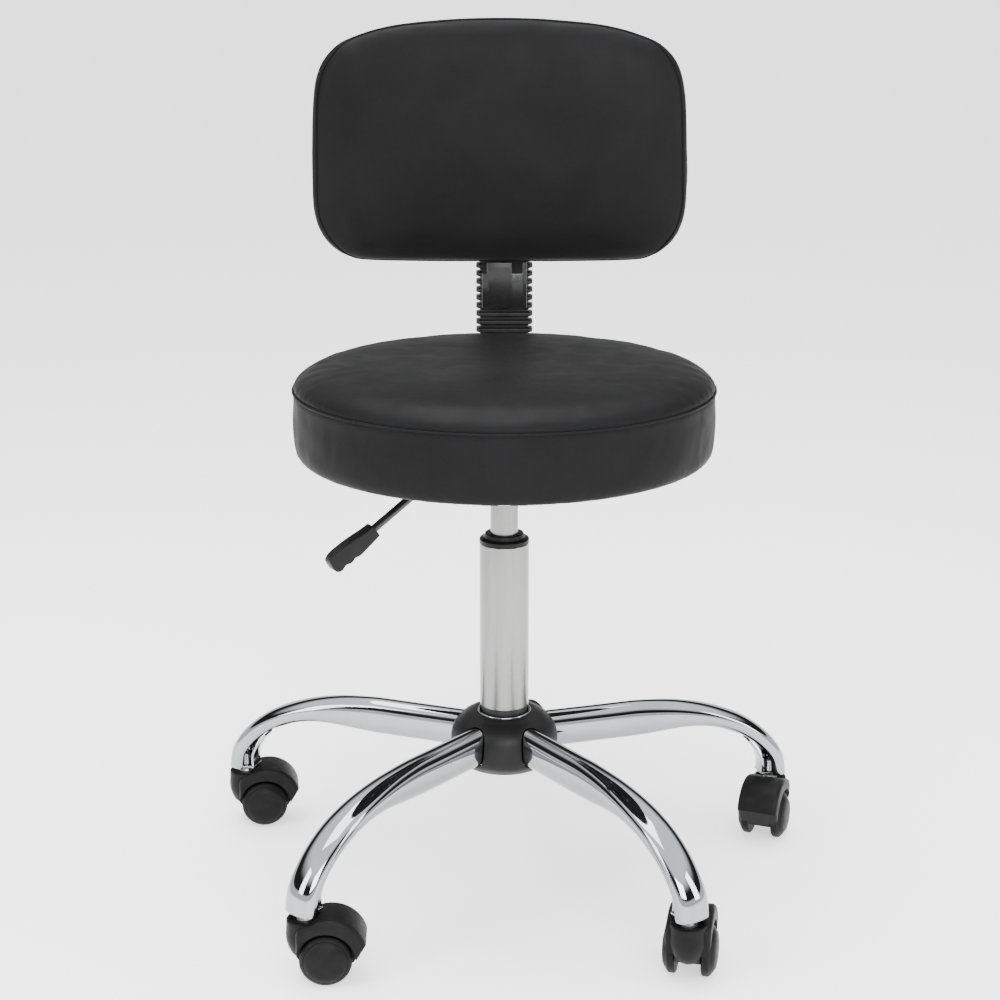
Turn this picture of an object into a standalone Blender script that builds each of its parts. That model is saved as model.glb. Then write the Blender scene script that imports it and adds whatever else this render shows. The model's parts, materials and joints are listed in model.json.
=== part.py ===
"""A rolling stylist stool: five-arm caster base, gas lift, round seat and an adjustable back.

Metres, +Z up. The stool stands on z = 0 and its back is towards +Y. Every piece is first shaped
around the column's axis, or around its own joint, and is then hung on an empty that stands there.
"""

import math

import bmesh
import bpy
from mathutils import Matrix, Vector

# The column's axis, placed so that the whole stool is centred on the world origin
COLUMN_X = -0.00506
COLUMN_Y = -0.02606

GAP = 0.0003  # clearance between two pieces that touch
RUNNING_GAP = 0.0004  # clearance round a shaft that turns

# Base
ARM_COUNT = 5
BASE_TURN = math.radians(-1.75)
STEM_RADIUS_OUT = 0.3015  # from the column's axis to a caster's stem
ARM_WALL = 0.0016
ARM_START = 0.0305
ARM_SIDES = 12
HUB_BOTTOM = 0.1155
HUB_TOP = 0.1700
HUB_RADIUS = 0.0550
SLEEVE_RADIUS = 0.0300

# Gas lift
COLUMN_RADIUS = 0.0250
COLUMN_WALL = 0.0015
COLUMN_BOTTOM = 0.1120
COLUMN_TOP = 0.3505
CYLINDER_RADIUS = 0.0140
CYLINDER_BOTTOM = 0.1580
CYLINDER_TOP = 0.4255
ROD_RADIUS = 0.0050
ROD_TOP = 0.2620
BUSH_BOTTOM = 0.2620
BUTTON_RADIUS = 0.0040
BUTTON_TOP = 0.4300

# Seat
SEAT_RADIUS = 0.2090
SEAT_BOTTOM = 0.4419
SEAM_HEIGHT = 0.5115
CROWN_TOP = 0.5370
CROWN_FLAT = 0.1200  # radius of the crown's flat middle
BOARD_RADIUS = 0.1950
BOARD_THICKNESS = 0.0120
PLATE_TOP = 0.4465
PLATE_THICKNESS = 0.0030
TRAY_HALF = 0.0500
TRAY_BOTTOM = 0.4080

# Lever, measured along the rod from the column's axis
LEVER_ANGLE = math.radians(210.8)
LEVER_PIVOT = 0.0450
LEVER_RADIUS = 0.0040
LEVER_HEIGHT = BUTTON_TOP + GAP + LEVER_RADIUS
LEVER_BEND = 0.0715
LEVER_DROP = math.radians(32.5)
HANDLE_START = 0.1470
HANDLE_LENGTH = 0.0560

# Back
BAR_WIDTH = 0.0300
BAR_THICKNESS = 0.0060
BAR_LEVEL = 0.4330  # middle of the bar's run under the seat
BAR_FRONT = 0.0560
BAR_Y = 0.2620
BAR_BEND = 0.0300
BAR_TOP = 0.7750
BELLOWS_BOTTOM = 0.4700
BELLOWS_TOP = 0.6235
BELLOWS_TEETH = 17
BACK_BOTTOM = 0.6035
BACK_TOP = 0.8625
BACK_HALF_WIDTH = 0.2030
BACK_FRONT = 0.1900
BACK_REAR = 0.2425
BACK_OFFSET = -0.0045  # the pad sits a little to one side of its bar
HOUSING_TOP = 0.8150
BACK_KNOB_HEIGHT = 0.6650
DEPTH_KNOB_Y = 0.0980

# Casters
WHEEL_RADIUS = 0.0250
WHEEL_STEPS = 20
WHEEL_INNER = 0.0122
WHEEL_WIDTH = 0.0138
AXLE_HEIGHT = WHEEL_RADIUS * math.cos(math.pi / WHEEL_STEPS)  # a flat of the wheel rests on the floor
AXLE_RADIUS = 0.0030
TRAIL = 0.0193
STEM_RADIUS = 0.0055
STEM_BOTTOM = 0.0300
NECK_RADIUS = 0.0173
NECK_TOP = 0.0600
NECK_FLOOR = NECK_TOP - 0.0020  # the bottom of the recess in the neck
STEM_TOP = 0.0785
# Angle round +Z in which each caster trails, counted in the order of the arms
CASTER_HEADINGS = [math.radians(angle) for angle in (2, 77, 248, 8, 300)]

for leftover in list(bpy.data.objects):
    bpy.data.objects.remove(leftover)

PARTS = bpy.data.collections.new("stylist_stool")
bpy.context.scene.collection.children.link(PARTS)


# ---------------------------------------------------------------- materials


def make_material(name, color, roughness, metallic=0.0):
    material = bpy.data.materials.new(name)
    material.use_nodes = True
    shader = material.node_tree.nodes["Principled BSDF"]
    shader.inputs["Base Color"].default_value = (*color, 1.0)
    shader.inputs["Roughness"].default_value = roughness
    shader.inputs["Metallic"].default_value = metallic
    return material


CHROME = make_material("chrome", (0.80, 0.81, 0.83), 0.07, 1.0)
SATIN_STEEL = make_material("satin_steel", (0.66, 0.66, 0.65), 0.28, 1.0)
DARK_STEEL = make_material("dark_steel", (0.03, 0.03, 0.032), 0.38, 0.6)
BARE_STEEL = make_material("bare_steel", (0.50, 0.50, 0.50), 0.35, 1.0)
BLACK_PLASTIC = make_material("black_plastic", (0.020, 0.020, 0.021), 0.50)
GLOSS_PLASTIC = make_material("gloss_plastic", (0.022, 0.022, 0.024), 0.22)
BLACK_RUBBER = make_material("black_rubber", (0.018, 0.018, 0.018), 0.60)
BLACK_VINYL = make_material("black_vinyl", (0.014, 0.014, 0.015), 0.42)
PLYWOOD = make_material("plywood", (0.48, 0.34, 0.20), 0.70)


# ---------------------------------------------------------------- shaping tools


def helper(mesh):
    """An object that only lives while its modifiers are worked out."""
    obj = bpy.data.objects.new("helper", mesh)
    bpy.context.scene.collection.objects.link(obj)
    return obj


def evaluated(obj):
    """The object's mesh with its modifiers applied; the object itself is removed."""
    bpy.context.view_layer.update()
    graph = bpy.context.evaluated_depsgraph_get()
    mesh = bpy.data.meshes.new_from_object(obj.evaluated_get(graph))
    bpy.data.objects.remove(obj)
    return mesh


def from_bmesh(work):
    mesh = bpy.data.meshes.new("shape")
    work.to_mesh(mesh)
    work.free()
    return mesh


def moved(mesh, matrix):
    mesh.transform(matrix)
    return mesh


def box(low, high, bevel=0.0, segments=2):
    size = [top - bottom for bottom, top in zip(low, high)]
    centre = [(top + bottom) / 2 for bottom, top in zip(low, high)]
    work = bmesh.new()
    bmesh.ops.create_cube(work, size=1.0)
    bmesh.ops.scale(work, vec=size, verts=work.verts)
    bmesh.ops.translate(work, vec=centre, verts=work.verts)
    if bevel:
        bmesh.ops.bevel(
            work, geom=list(work.edges), offset=bevel, segments=segments, affect="EDGES", profile=0.5
        )
    return from_bmesh(work)


def cylinder(radius, low, high, segments=16):
    """A round bar along Z from low to high."""
    work = bmesh.new()
    bmesh.ops.create_cone(
        work, cap_ends=True, segments=segments, radius1=radius, radius2=radius, depth=high - low
    )
    bmesh.ops.translate(work, vec=(0, 0, (low + high) / 2), verts=work.verts)
    return from_bmesh(work)


def turned(profile, steps=24):
    """Turns (radius, height) points round Z. A profile that starts off the axis is closed into a ring."""
    points = [(radius, 0.0, height) for radius, height in profile]
    edges = [(index, index + 1) for index in range(len(points) - 1)]
    if profile[0][0] > 0:
        edges.append((len(points) - 1, 0))
    mesh = bpy.data.meshes.new("profile")
    mesh.from_pydata(points, edges, [])
    obj = helper(mesh)
    screw = obj.modifiers.new("Screw", "SCREW")
    screw.steps = steps
    screw.render_steps = steps
    screw.use_merge_vertices = True
    screw.merge_threshold = 0.00001
    return evaluated(obj)


def ring(outer, inner, low, high, steps=24):
    return turned([(outer, high), (outer, low), (inner, low), (inner, high)], steps)


def extruded(outline, low, high):
    """A flat outline in X and Y, given height from low to high."""
    curve = bpy.data.curves.new("outline", "CURVE")
    curve.dimensions = "2D"
    curve.fill_mode = "BOTH"
    curve.extrude = (high - low) / 2
    spline = curve.splines.new("POLY")
    spline.points.add(len(outline) - 1)
    for point, (x, y) in zip(spline.points, outline):
        point.co = (x, y, 0, 1)
    spline.use_cyclic_u = True
    mesh = evaluated(helper(curve))
    work = bmesh.new()
    work.from_mesh(mesh)
    bmesh.ops.remove_doubles(work, verts=work.verts, dist=0.00001)
    bmesh.ops.dissolve_limit(work, angle_limit=0.001, verts=work.verts, edges=work.edges)
    bmesh.ops.recalc_face_normals(work, faces=work.faces)
    bmesh.ops.translate(work, vec=(0, 0, (low + high) / 2), verts=work.verts)
    return from_bmesh(work)


def bevelled(mesh, width, segments=1, angle=math.radians(40)):
    """Rounds the edges that are sharper than the angle."""
    obj = helper(mesh)
    bevel = obj.modifiers.new("Bevel", "BEVEL")
    bevel.width = width
    bevel.segments = segments
    bevel.limit_method = "ANGLE"
    bevel.angle_limit = angle
    return evaluated(obj)


def combined(base, join=(), cut=()):
    """The base with other shapes joined on, and then others cut away."""
    obj = helper(base)
    tools = []
    for operation, shapes in (("UNION", join), ("DIFFERENCE", cut)):
        for shape in shapes:
            tool = helper(shape)
            modifier = obj.modifiers.new(operation, "BOOLEAN")
            modifier.operation = operation
            modifier.object = tool
            tools.append(tool)
    mesh = evaluated(obj)
    for tool in tools:
        bpy.data.objects.remove(tool)
    return mesh


def arc(centre, radius, start, end, count):
    """Points on a circle, angles in degrees."""
    angles = [math.radians(start + (end - start) * step / (count - 1)) for step in range(count)]
    return [(centre[0] + radius * math.cos(a), centre[1] + radius * math.sin(a)) for a in angles]


def rounded_rectangle(half_x, half_y, radius, corner_points=3):
    outline = []
    for x_side, y_side, start in ((1, 1, 0), (-1, 1, 90), (-1, -1, 180), (1, -1, 270)):
        centre = (x_side * (half_x - radius), y_side * (half_y - radius))
        outline += arc(centre, radius, start, start + 90, corner_points)
    return outline


def strip_corners(centre, side, across):
    """The four corners of a flat strip's section, in order round it."""
    return [centre + side - across, centre + side + across, centre - side + across, centre - side - across]


def lofted(rings, capped=True, keep=None):
    """Skins rings of equal length. keep(row, side) can leave a quad out of an open skin."""
    work = bmesh.new()
    rows = [[work.verts.new(point) for point in points] for points in rings]
    count = len(rows[0])
    for row in range(len(rows) - 1):
        for side in range(count):
            if keep and not keep(row, side):
                continue
            after = (side + 1) % count
            work.faces.new((rows[row][side], rows[row][after], rows[row + 1][after], rows[row + 1][side]))
    if capped:
        work.faces.new(list(reversed(rows[0])))
        work.faces.new(rows[-1])
    else:
        loose = [vert for vert in work.verts if not vert.link_faces]
        bmesh.ops.delete(work, geom=loose, context="VERTS")
    bmesh.ops.recalc_face_normals(work, faces=work.faces)
    return from_bmesh(work)


def add_empty(name, parent=None, location=(0, 0, 0), turn=0.0):
    empty = bpy.data.objects.new(name, None)
    PARTS.objects.link(empty)
    empty.parent = parent
    empty.location = location
    empty.rotation_euler = (0, 0, turn)
    return empty


def add_piece(name, mesh, material, parent, location=(0, 0, 0), rotation=(0, 0, 0), smooth_below=40):
    mesh.name = name
    mesh.materials.clear()
    mesh.materials.append(material)
    mesh.shade_smooth()
    mesh.set_sharp_from_angle(angle=math.radians(smooth_below))
    obj = bpy.data.objects.new(name, mesh)
    PARTS.objects.link(obj)
    obj.parent = parent
    obj.location = location
    obj.rotation_euler = rotation
    return obj


# ---------------------------------------------------------------- base

# The arm's centre line as (distance from the column's axis, height)
ARM_LINE = [
    (ARM_START, 0.1440),
    (0.100, 0.1442),
    (0.155, 0.1445),
    (0.192, 0.1440),
    (0.222, 0.1400),
    (0.248, 0.1318),
    (0.270, 0.1200),
    (0.289, 0.1040),
    (0.3025, 0.0850),
    (0.3060, 0.0662),
]
TUBE_TALL = 0.0190  # half the tube's height beside the hub
TUBE_FLAT = 0.0105  # half its thickness at the outer end
TUBE_NARROW = 0.0140  # half its width beside the hub
TUBE_WIDE = 0.0172
OPEN_FROM_ROW = 5  # the tube's underside is cut away from here to its outer end
SECTION_POWER = 0.85  # below 1 the section is squarer than an ellipse


def smooth_step(value, low, high):
    share = min(max((value - low) / (high - low), 0.0), 1.0)
    return share * share * (3 - 2 * share)


def tube_section(half_width, half_height, sides, phase=0.5):
    """Points of a squarish oval as (across, up), starting beside the underside."""
    points = []
    for side in range(sides):
        angle = 2 * math.pi * (side + phase) / sides - math.pi / 2
        across, up = math.cos(angle), math.sin(angle)
        points.append(
            (
                half_width * math.copysign(abs(across) ** SECTION_POWER, across),
                half_height * math.copysign(abs(up) ** SECTION_POWER, up),
            )
        )
    return points


def arm_rings():
    rings = []
    for index, (distance, height) in enumerate(ARM_LINE):
        before = ARM_LINE[max(index - 1, 0)]
        after = ARM_LINE[min(index + 1, len(ARM_LINE) - 1)]
        run = Vector((after[0] - before[0], 0, after[1] - before[1])).normalized()
        across = Vector((0, 1, 0))
        up = run.cross(across)
        flattening = smooth_step(distance, 0.135, 0.250)
        half_width = TUBE_NARROW + (TUBE_WIDE - TUBE_NARROW) * flattening
        half_height = TUBE_TALL + (TUBE_FLAT - TUBE_TALL) * flattening
        centre = Vector((distance, 0, height))
        section = tube_section(half_width, half_height, ARM_SIDES)
        rings.append([centre + across * a + up * b for a, b in section])
    return rings


def arm_tube():
    underside = (0, ARM_SIDES - 1, ARM_SIDES - 2)
    skin = lofted(
        arm_rings(), capped=False, keep=lambda row, side: row < OPEN_FROM_ROW or side not in underside
    )
    obj = helper(skin)
    wall = obj.modifiers.new("Wall", "SOLIDIFY")
    wall.thickness = ARM_WALL
    wall.offset = -1
    return evaluated(obj)


def arm_socket():
    """The bent strap and the sleeve that close an arm's outer end and take a caster's stem."""
    foot_low = NECK_TOP + 0.0056
    foot_high = foot_low + 0.0026
    foot = box((-0.0145, -0.0100, foot_low), (0.0105, 0.0100, foot_high), 0.0008, 1)
    sleeve = cylinder(0.0080, foot_high - 0.001, STEM_TOP + 0.001, 14)
    strap_line = [(-0.0130, foot_high - 0.002), (-0.0130, 0.0800), (-0.0185, 0.0920), (-0.0290, 0.1065)]
    half = 0.0012
    rings = []
    for index, (x, z) in enumerate(strap_line):
        before = strap_line[max(index - 1, 0)]
        after = strap_line[min(index + 1, len(strap_line) - 1)]
        run = Vector((after[0] - before[0], 0, after[1] - before[1])).normalized()
        side = Vector((-run.z, 0, run.x)) * half
        centre = Vector((x, 0, z))
        across = Vector((0, 0.0085, 0))
        rings.append(strip_corners(centre, side, across))
    strap = lofted(rings)
    bore = cylinder(STEM_RADIUS + GAP, foot_low - 0.001, STEM_TOP + 0.0005, 14)
    return combined(foot, join=(sleeve, strap), cut=(bore,))


def hub_cover():
    """A hollow cover, open below, with an opening for each arm."""
    outer = [
        (0.0330, HUB_TOP),
        (0.0350, HUB_TOP - 0.0020),
        (0.0362, 0.1662),
        (0.0440, 0.1630),
        (0.0508, 0.1570),
        (0.0542, 0.1490),
        (HUB_RADIUS, 0.1390),
        (0.0520, 0.1250),
        (0.0430, HUB_BOTTOM),
    ]
    inner = [
        (0.0400, HUB_BOTTOM + 0.0005),
        (0.0515, 0.1390),
        (0.0490, 0.1495),
        (0.0310, 0.1655),
        (COLUMN_RADIUS + 0.0010, 0.1655),
        (COLUMN_RADIUS + 0.0010, HUB_TOP),
    ]
    openings = []
    for number in range(ARM_COUNT):
        section = tube_section(TUBE_NARROW + 0.0008, TUBE_TALL + 0.0008, ARM_SIDES)
        rings = [[(distance, across, 0.1440 + up) for across, up in section] for distance in (0.033, 0.062)]
        openings.append(moved(lofted(rings), Matrix.Rotation(arm_angle(number), 4, "Z")))
    return combined(turned(outer + inner, 25), cut=openings)


def arm_angle(number):
    """The arm's direction round +Z; the first stands to the left of the front, then round to the right."""
    return BASE_TURN - math.pi / 2 + math.radians((-36, 36, 108, -108, 180)[number])


def build_base(stool):
    add_piece("hub_cover", hub_cover(), BLACK_PLASTIC, stool)
    sleeve = ring(SLEEVE_RADIUS, COLUMN_RADIUS + GAP, HUB_BOTTOM + 0.0010, 0.1650)
    add_piece("hub_sleeve", sleeve, DARK_STEEL, stool)
    tube = arm_tube()
    socket = arm_socket()
    for number in range(ARM_COUNT):
        turn = arm_angle(number)
        add_piece(f"arm_{number + 1}", tube, CHROME, stool, rotation=(0, 0, turn))
        place = (STEM_RADIUS_OUT * math.cos(turn), STEM_RADIUS_OUT * math.sin(turn), 0)
        add_piece(f"arm_{number + 1}_socket", socket, CHROME, stool, place, (0, 0, turn))


# ---------------------------------------------------------------- gas lift


def build_gas_lift(stool):
    bore = COLUMN_RADIUS - COLUMN_WALL
    floor = COLUMN_BOTTOM + 0.0030
    tube = turned(
        [
            (COLUMN_RADIUS, COLUMN_TOP),
            (COLUMN_RADIUS, 0.1400),
            (COLUMN_RADIUS - 0.0020, COLUMN_BOTTOM),
            (ROD_RADIUS + RUNNING_GAP, COLUMN_BOTTOM),
            (ROD_RADIUS + RUNNING_GAP, floor),
            (bore - 0.0020, floor),
            (bore, 0.1420),
            (bore, COLUMN_TOP),
        ]
    )
    add_piece("column_tube", tube, SATIN_STEEL, stool)
    bush = turned(
        [
            (COLUMN_RADIUS - 0.0050, COLUMN_TOP + 0.0105),
            (COLUMN_RADIUS - 0.0050, COLUMN_TOP + 0.0060),
            (COLUMN_RADIUS, COLUMN_TOP + 0.0045),
            (COLUMN_RADIUS, COLUMN_TOP + GAP),
            (bore - GAP, COLUMN_TOP + GAP),
            (bore - GAP, BUSH_BOTTOM),
            (CYLINDER_RADIUS + RUNNING_GAP, BUSH_BOTTOM),
            (CYLINDER_RADIUS + RUNNING_GAP, COLUMN_TOP + 0.0105),
        ]
    )
    add_piece("guide_bush", bush, BLACK_PLASTIC, stool)
    bearing = ring(0.0170, ROD_RADIUS + RUNNING_GAP, floor + GAP, floor + 0.0050, 20)
    add_piece("thrust_bearing", bearing, BARE_STEEL, stool)
    clip = ring(0.0085, ROD_RADIUS + GAP, COLUMN_BOTTOM - 0.0022, COLUMN_BOTTOM - GAP, 16)
    add_piece("retaining_clip", clip, DARK_STEEL, stool)
    add_piece("piston_rod", cylinder(ROD_RADIUS, COLUMN_BOTTOM - 0.0040, ROD_TOP), BARE_STEEL, stool)
    cylinder_profile = [
        (BUTTON_RADIUS + RUNNING_GAP, CYLINDER_TOP),
        (CYLINDER_RADIUS - 0.0010, CYLINDER_TOP),
        (CYLINDER_RADIUS, CYLINDER_TOP - 0.0010),
        (CYLINDER_RADIUS, CYLINDER_BOTTOM),
        (ROD_RADIUS + 0.0010, CYLINDER_BOTTOM),
        (ROD_RADIUS + 0.0010, ROD_TOP + 0.0500),
        (0.0, ROD_TOP + 0.0500),
    ]
    blind_hole = [(0.0, CYLINDER_TOP - 0.0150), (BUTTON_RADIUS + RUNNING_GAP, CYLINDER_TOP - 0.0150)]
    add_piece("gas_cylinder", turned(blind_hole + cylinder_profile), SATIN_STEEL, stool)
    button = turned(
        [(0.0, BUTTON_TOP), (0.0030, BUTTON_TOP), (BUTTON_RADIUS, BUTTON_TOP - 0.0010)]
        + [(BUTTON_RADIUS, CYLINDER_TOP - 0.0100), (0.0, CYLINDER_TOP - 0.0100)],
        14,
    )
    add_piece("release_button", button, BARE_STEEL, stool)


# ---------------------------------------------------------------- seat


def in_lever_frame(mesh):
    """Turns a shape that was made with the lever along +X, from the column's axis."""
    return moved(mesh, Matrix.Rotation(LEVER_ANGLE, 4, "Z"))


def seat_plate():
    """A pressed tray with a rim: the cylinder's socket and the lever's two ears stand inside it."""
    rim_low = PLATE_TOP - PLATE_THICKNESS
    rim = box((-0.085, -0.080, rim_low), (0.085, 0.080, PLATE_TOP), 0.0008, 1)
    tray = box((-TRAY_HALF, -TRAY_HALF, TRAY_BOTTOM), (TRAY_HALF, TRAY_HALF, PLATE_TOP - 0.0005))
    wall = TRAY_HALF - PLATE_THICKNESS
    floor = TRAY_BOTTOM + PLATE_THICKNESS
    pocket = box((-wall, -wall, floor), (wall, wall, PLATE_TOP + 0.001))
    shell = combined(rim, join=(tray,), cut=(pocket,))
    socket = cylinder(0.0200, floor - 0.0010, CYLINDER_TOP - 0.0015, 24)
    ears = []
    for side in (-1, 1):
        inner, outer = sorted((side * 0.0060, side * 0.0085))
        low = (LEVER_PIVOT - 0.005, inner, floor - 0.001)
        ear = box(low, (LEVER_PIVOT + 0.003, outer, LEVER_HEIGHT + 0.005))
        ears.append(in_lever_frame(ear))
    bore = cylinder(CYLINDER_RADIUS + GAP, TRAY_BOTTOM - 0.001, CYLINDER_TOP + 0.001, 24)
    pin_hole = moved(
        cylinder(0.0028, -0.010, 0.010, 12),
        Matrix.Translation((LEVER_PIVOT, 0, LEVER_HEIGHT)) @ Matrix.Rotation(math.pi / 2, 4, "X"),
    )
    slot = box((0.048, -0.0065, TRAY_BOTTOM + 0.012), (0.075, 0.0065, rim_low - 0.0005))
    return combined(shell, join=(socket, *ears), cut=(bore, in_lever_frame(pin_hole), in_lever_frame(slot)))


def lever_rod():
    """The rod, with its pivot at the origin and its outer end along +X."""
    tip = Vector((-LEVER_PIVOT - 0.006, 0, 0))
    bend = Vector((LEVER_BEND - LEVER_PIVOT, 0, 0))
    reach = HANDLE_START + 0.020 - LEVER_BEND
    end = bend + Vector((reach, 0, -reach * math.tan(LEVER_DROP)))
    level = bend - Vector((0.005, 0, 0))
    sloping = bend + Vector((0.005, 0, -0.005 * math.tan(LEVER_DROP)))
    curve = bpy.data.curves.new("rod", "CURVE")
    curve.dimensions = "3D"
    curve.bevel_depth = LEVER_RADIUS
    curve.bevel_resolution = 2
    curve.use_fill_caps = True
    spline = curve.splines.new("POLY")
    spline.points.add(3)
    for point, place in zip(spline.points, (tip, level, sloping, end)):
        point.co = (*place, 1)
    mesh = evaluated(helper(curve))
    work = bmesh.new()
    work.from_mesh(mesh)
    bmesh.ops.remove_doubles(work, verts=work.verts, dist=0.00001)
    bmesh.ops.recalc_face_normals(work, faces=work.faces)
    hole = moved(cylinder(0.0026, -0.010, 0.010, 12), Matrix.Rotation(math.pi / 2, 4, "X"))
    return combined(from_bmesh(work), cut=(hole,))


def lever_handle():
    """A flat paddle with two finger scallops, hollow at its inner end for the rod."""
    top = [(0.0, 0.0056), (0.010, 0.0064), (0.030, 0.0088), (0.048, 0.0092), (0.0545, 0.0070)]
    end = [(HANDLE_LENGTH, 0.0045), (HANDLE_LENGTH, -0.0045), (0.0545, -0.0072)]
    under = [(0.050, -0.0090), (0.044, -0.0074), (0.038, -0.0094), (0.0325, -0.0080), (0.027, -0.0094)]
    outline = top + end + under + [(0.010, -0.0078), (0.0, -0.0066)]
    paddle = extruded(list(reversed(outline)), -0.0070, 0.0070)
    paddle = bevelled(moved(paddle, Matrix.Rotation(math.pi / 2, 4, "X")), 0.0022)
    socket = moved(cylinder(LEVER_RADIUS + GAP, -0.005, 0.0240, 12), Matrix.Rotation(math.pi / 2, 4, "Y"))
    return combined(paddle, cut=(socket,))


def build_lever(stool):
    pivot_place = (LEVER_PIVOT * math.cos(LEVER_ANGLE), LEVER_PIVOT * math.sin(LEVER_ANGLE), LEVER_HEIGHT)
    pivot = add_empty("lever_pivot", stool, pivot_place, LEVER_ANGLE)
    add_piece("lever_rod", lever_rod(), DARK_STEEL, pivot)
    out = HANDLE_START - LEVER_PIVOT
    drop = (HANDLE_START - LEVER_BEND) * math.tan(LEVER_DROP)
    add_piece("lever_handle", lever_handle(), BLACK_PLASTIC, pivot, (out, 0, -drop), (0, LEVER_DROP, 0))
    pin = moved(cylinder(0.0023, -0.0105, 0.0105, 12), Matrix.Rotation(math.pi / 2, 4, "X"))
    add_piece("lever_pin", pin, BARE_STEEL, stool, pivot_place, (0, 0, LEVER_ANGLE))


def build_seat(stool):
    add_piece("seat_plate", seat_plate(), DARK_STEEL, stool)
    board_low = PLATE_TOP + GAP
    board_high = board_low + BOARD_THICKNESS
    board_edge = [(BOARD_RADIUS, board_high), (BOARD_RADIUS, board_low)]
    board = turned([(0.0, board_high), *board_edge, (0.0, board_low)], 40)
    add_piece("seat_board", board, PLYWOOD, stool)
    pocket = BOARD_RADIUS + GAP
    cushion = turned(
        [
            (0.0, CROWN_TOP),
            (CROWN_FLAT, CROWN_TOP),
            (SEAT_RADIUS - 0.0260, CROWN_TOP - 0.0050),
            (SEAT_RADIUS - 0.0100, CROWN_TOP - 0.0110),
            (SEAT_RADIUS - 0.0020, SEAM_HEIGHT + 0.0070),
            (SEAT_RADIUS, SEAM_HEIGHT),
            (SEAT_RADIUS - 0.0018, SEAM_HEIGHT - 0.0060),
            (SEAT_RADIUS - 0.0018, SEAT_BOTTOM + 0.0090),
            (SEAT_RADIUS - 0.0050, SEAT_BOTTOM + 0.0020),
            (SEAT_RADIUS - 0.0090, SEAT_BOTTOM),
            (pocket, SEAT_BOTTOM),
            (pocket, board_high + GAP),
            (0.0, board_high + GAP),
        ],
        40,
    )
    add_piece("seat_cushion", cushion, BLACK_VINYL, stool)


# ---------------------------------------------------------------- back


def star_knob(stud_length):
    """A five-lobed knob under z = 0 with its stud pointing up."""
    lobes = []
    for step in range(20):
        angle = 2 * math.pi * step / 20
        radius = 0.0165 + 0.0022 * math.cos(5 * angle)
        lobes.append((radius * math.cos(angle), radius * math.sin(angle)))
    head = bevelled(extruded(lobes, -0.0180, 0.0), 0.0020, 1, math.radians(60))
    return combined(head, join=(cylinder(0.0030, -0.004, stud_length, 12),))


def bent_bar():
    """The flat bar: a run under the seat, a bend and an upright."""
    half_width = BAR_WIDTH / 2
    half = BAR_THICKNESS / 2
    line = [(BAR_FRONT, BAR_LEVEL)]
    line += arc((BAR_Y - BAR_BEND, BAR_LEVEL + BAR_BEND), BAR_BEND, -90, 0, 8)
    line += [(BAR_Y, BAR_TOP)]
    rings = []
    for index, (y, z) in enumerate(line):
        before = line[max(index - 1, 0)]
        after = line[min(index + 1, len(line) - 1)]
        run = Vector((0, after[0] - before[0], after[1] - before[1])).normalized()
        if index == 1:
            run = Vector((0, 1, 0))
        if index == len(line) - 2:
            run = Vector((0, 0, 1))
        side = Vector((0, -run.z, run.y)) * half
        centre = Vector((0, y, z))
        across = Vector((half_width, 0, 0))
        rings.append(strip_corners(centre, side, across))
    return lofted(rings)


def bellows():
    """A ribbed sleeve round the bar, open at both ends."""
    groove = rounded_rectangle(0.0272, 0.0088, 0.0040, 2)
    tip = rounded_rectangle(0.0315, 0.0122, 0.0060, 2)
    pitch = (BELLOWS_TOP - BELLOWS_BOTTOM) / BELLOWS_TEETH
    rings = []
    for tooth in range(BELLOWS_TEETH):
        for outline, share in ((groove, 0.0), (groove, 0.32), (tip, 0.46), (tip, 0.86)):
            height = BELLOWS_BOTTOM + (tooth + share) * pitch
            rings.append([(x, y, height) for x, y in outline])
    rings.append([(x, y, BELLOWS_TOP) for x, y in groove])
    channel = box((-0.0156, -0.0036, BELLOWS_BOTTOM - 0.01), (0.0156, 0.0036, BELLOWS_TOP + 0.01))
    return moved(combined(lofted(rings), cut=(channel,)), Matrix.Translation((0, BAR_Y, 0)))


def front_plate():
    """The smooth plate on the sleeve's front, with a notch beside its tongue."""
    low, shoulder, top = 0.5465, 0.5860, 0.5985
    outline = [(-0.0250, low), (0.0250, low), (0.0250, top), (0.0200, top), (0.0200, shoulder)]
    outline += [(0.0085, shoulder), (0.0085, top), (-0.0195, top), (-0.0195, shoulder), (-0.0250, shoulder)]
    plate = moved(extruded(outline, -0.0016, 0.0016), Matrix.Rotation(math.pi / 2, 4, "X"))
    return moved(bevelled(plate, 0.0008), Matrix.Translation((0, BAR_Y - 0.0144, 0)))


def back_outline(inset=0.0):
    """The pad's outline as (x, z): a level foot, round corners and a gently crowned top."""
    lower = [(0.0800, 0.0), (0.1460, 0.0020), (0.1670, 0.0068), (0.1856, 0.0200), (0.1973, 0.0380)]
    lower += [(0.2024, 0.0600), (BACK_HALF_WIDTH, 0.0920)]
    upper = [(0.2010, 0.0980), (0.1978, 0.0700), (0.1908, 0.0485), (0.1795, 0.0340), (0.1640, 0.0230)]
    upper += [(0.1190, 0.0088), (0.0560, 0.0018)]
    right = [(x, BACK_BOTTOM + rise) for x, rise in lower] + [(x, BACK_TOP - drop) for x, drop in upper]
    left = [(-x, z) for x, z in reversed(right)]
    centre_z = (BACK_TOP + BACK_BOTTOM) / 2
    share_x = 1 - inset / BACK_HALF_WIDTH
    share_z = 1 - inset / (centre_z - BACK_BOTTOM)
    outline = right + [(0.0, BACK_TOP)] + left
    return [(x * share_x, centre_z + (z - centre_z) * share_z) for x, z in outline]


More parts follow.
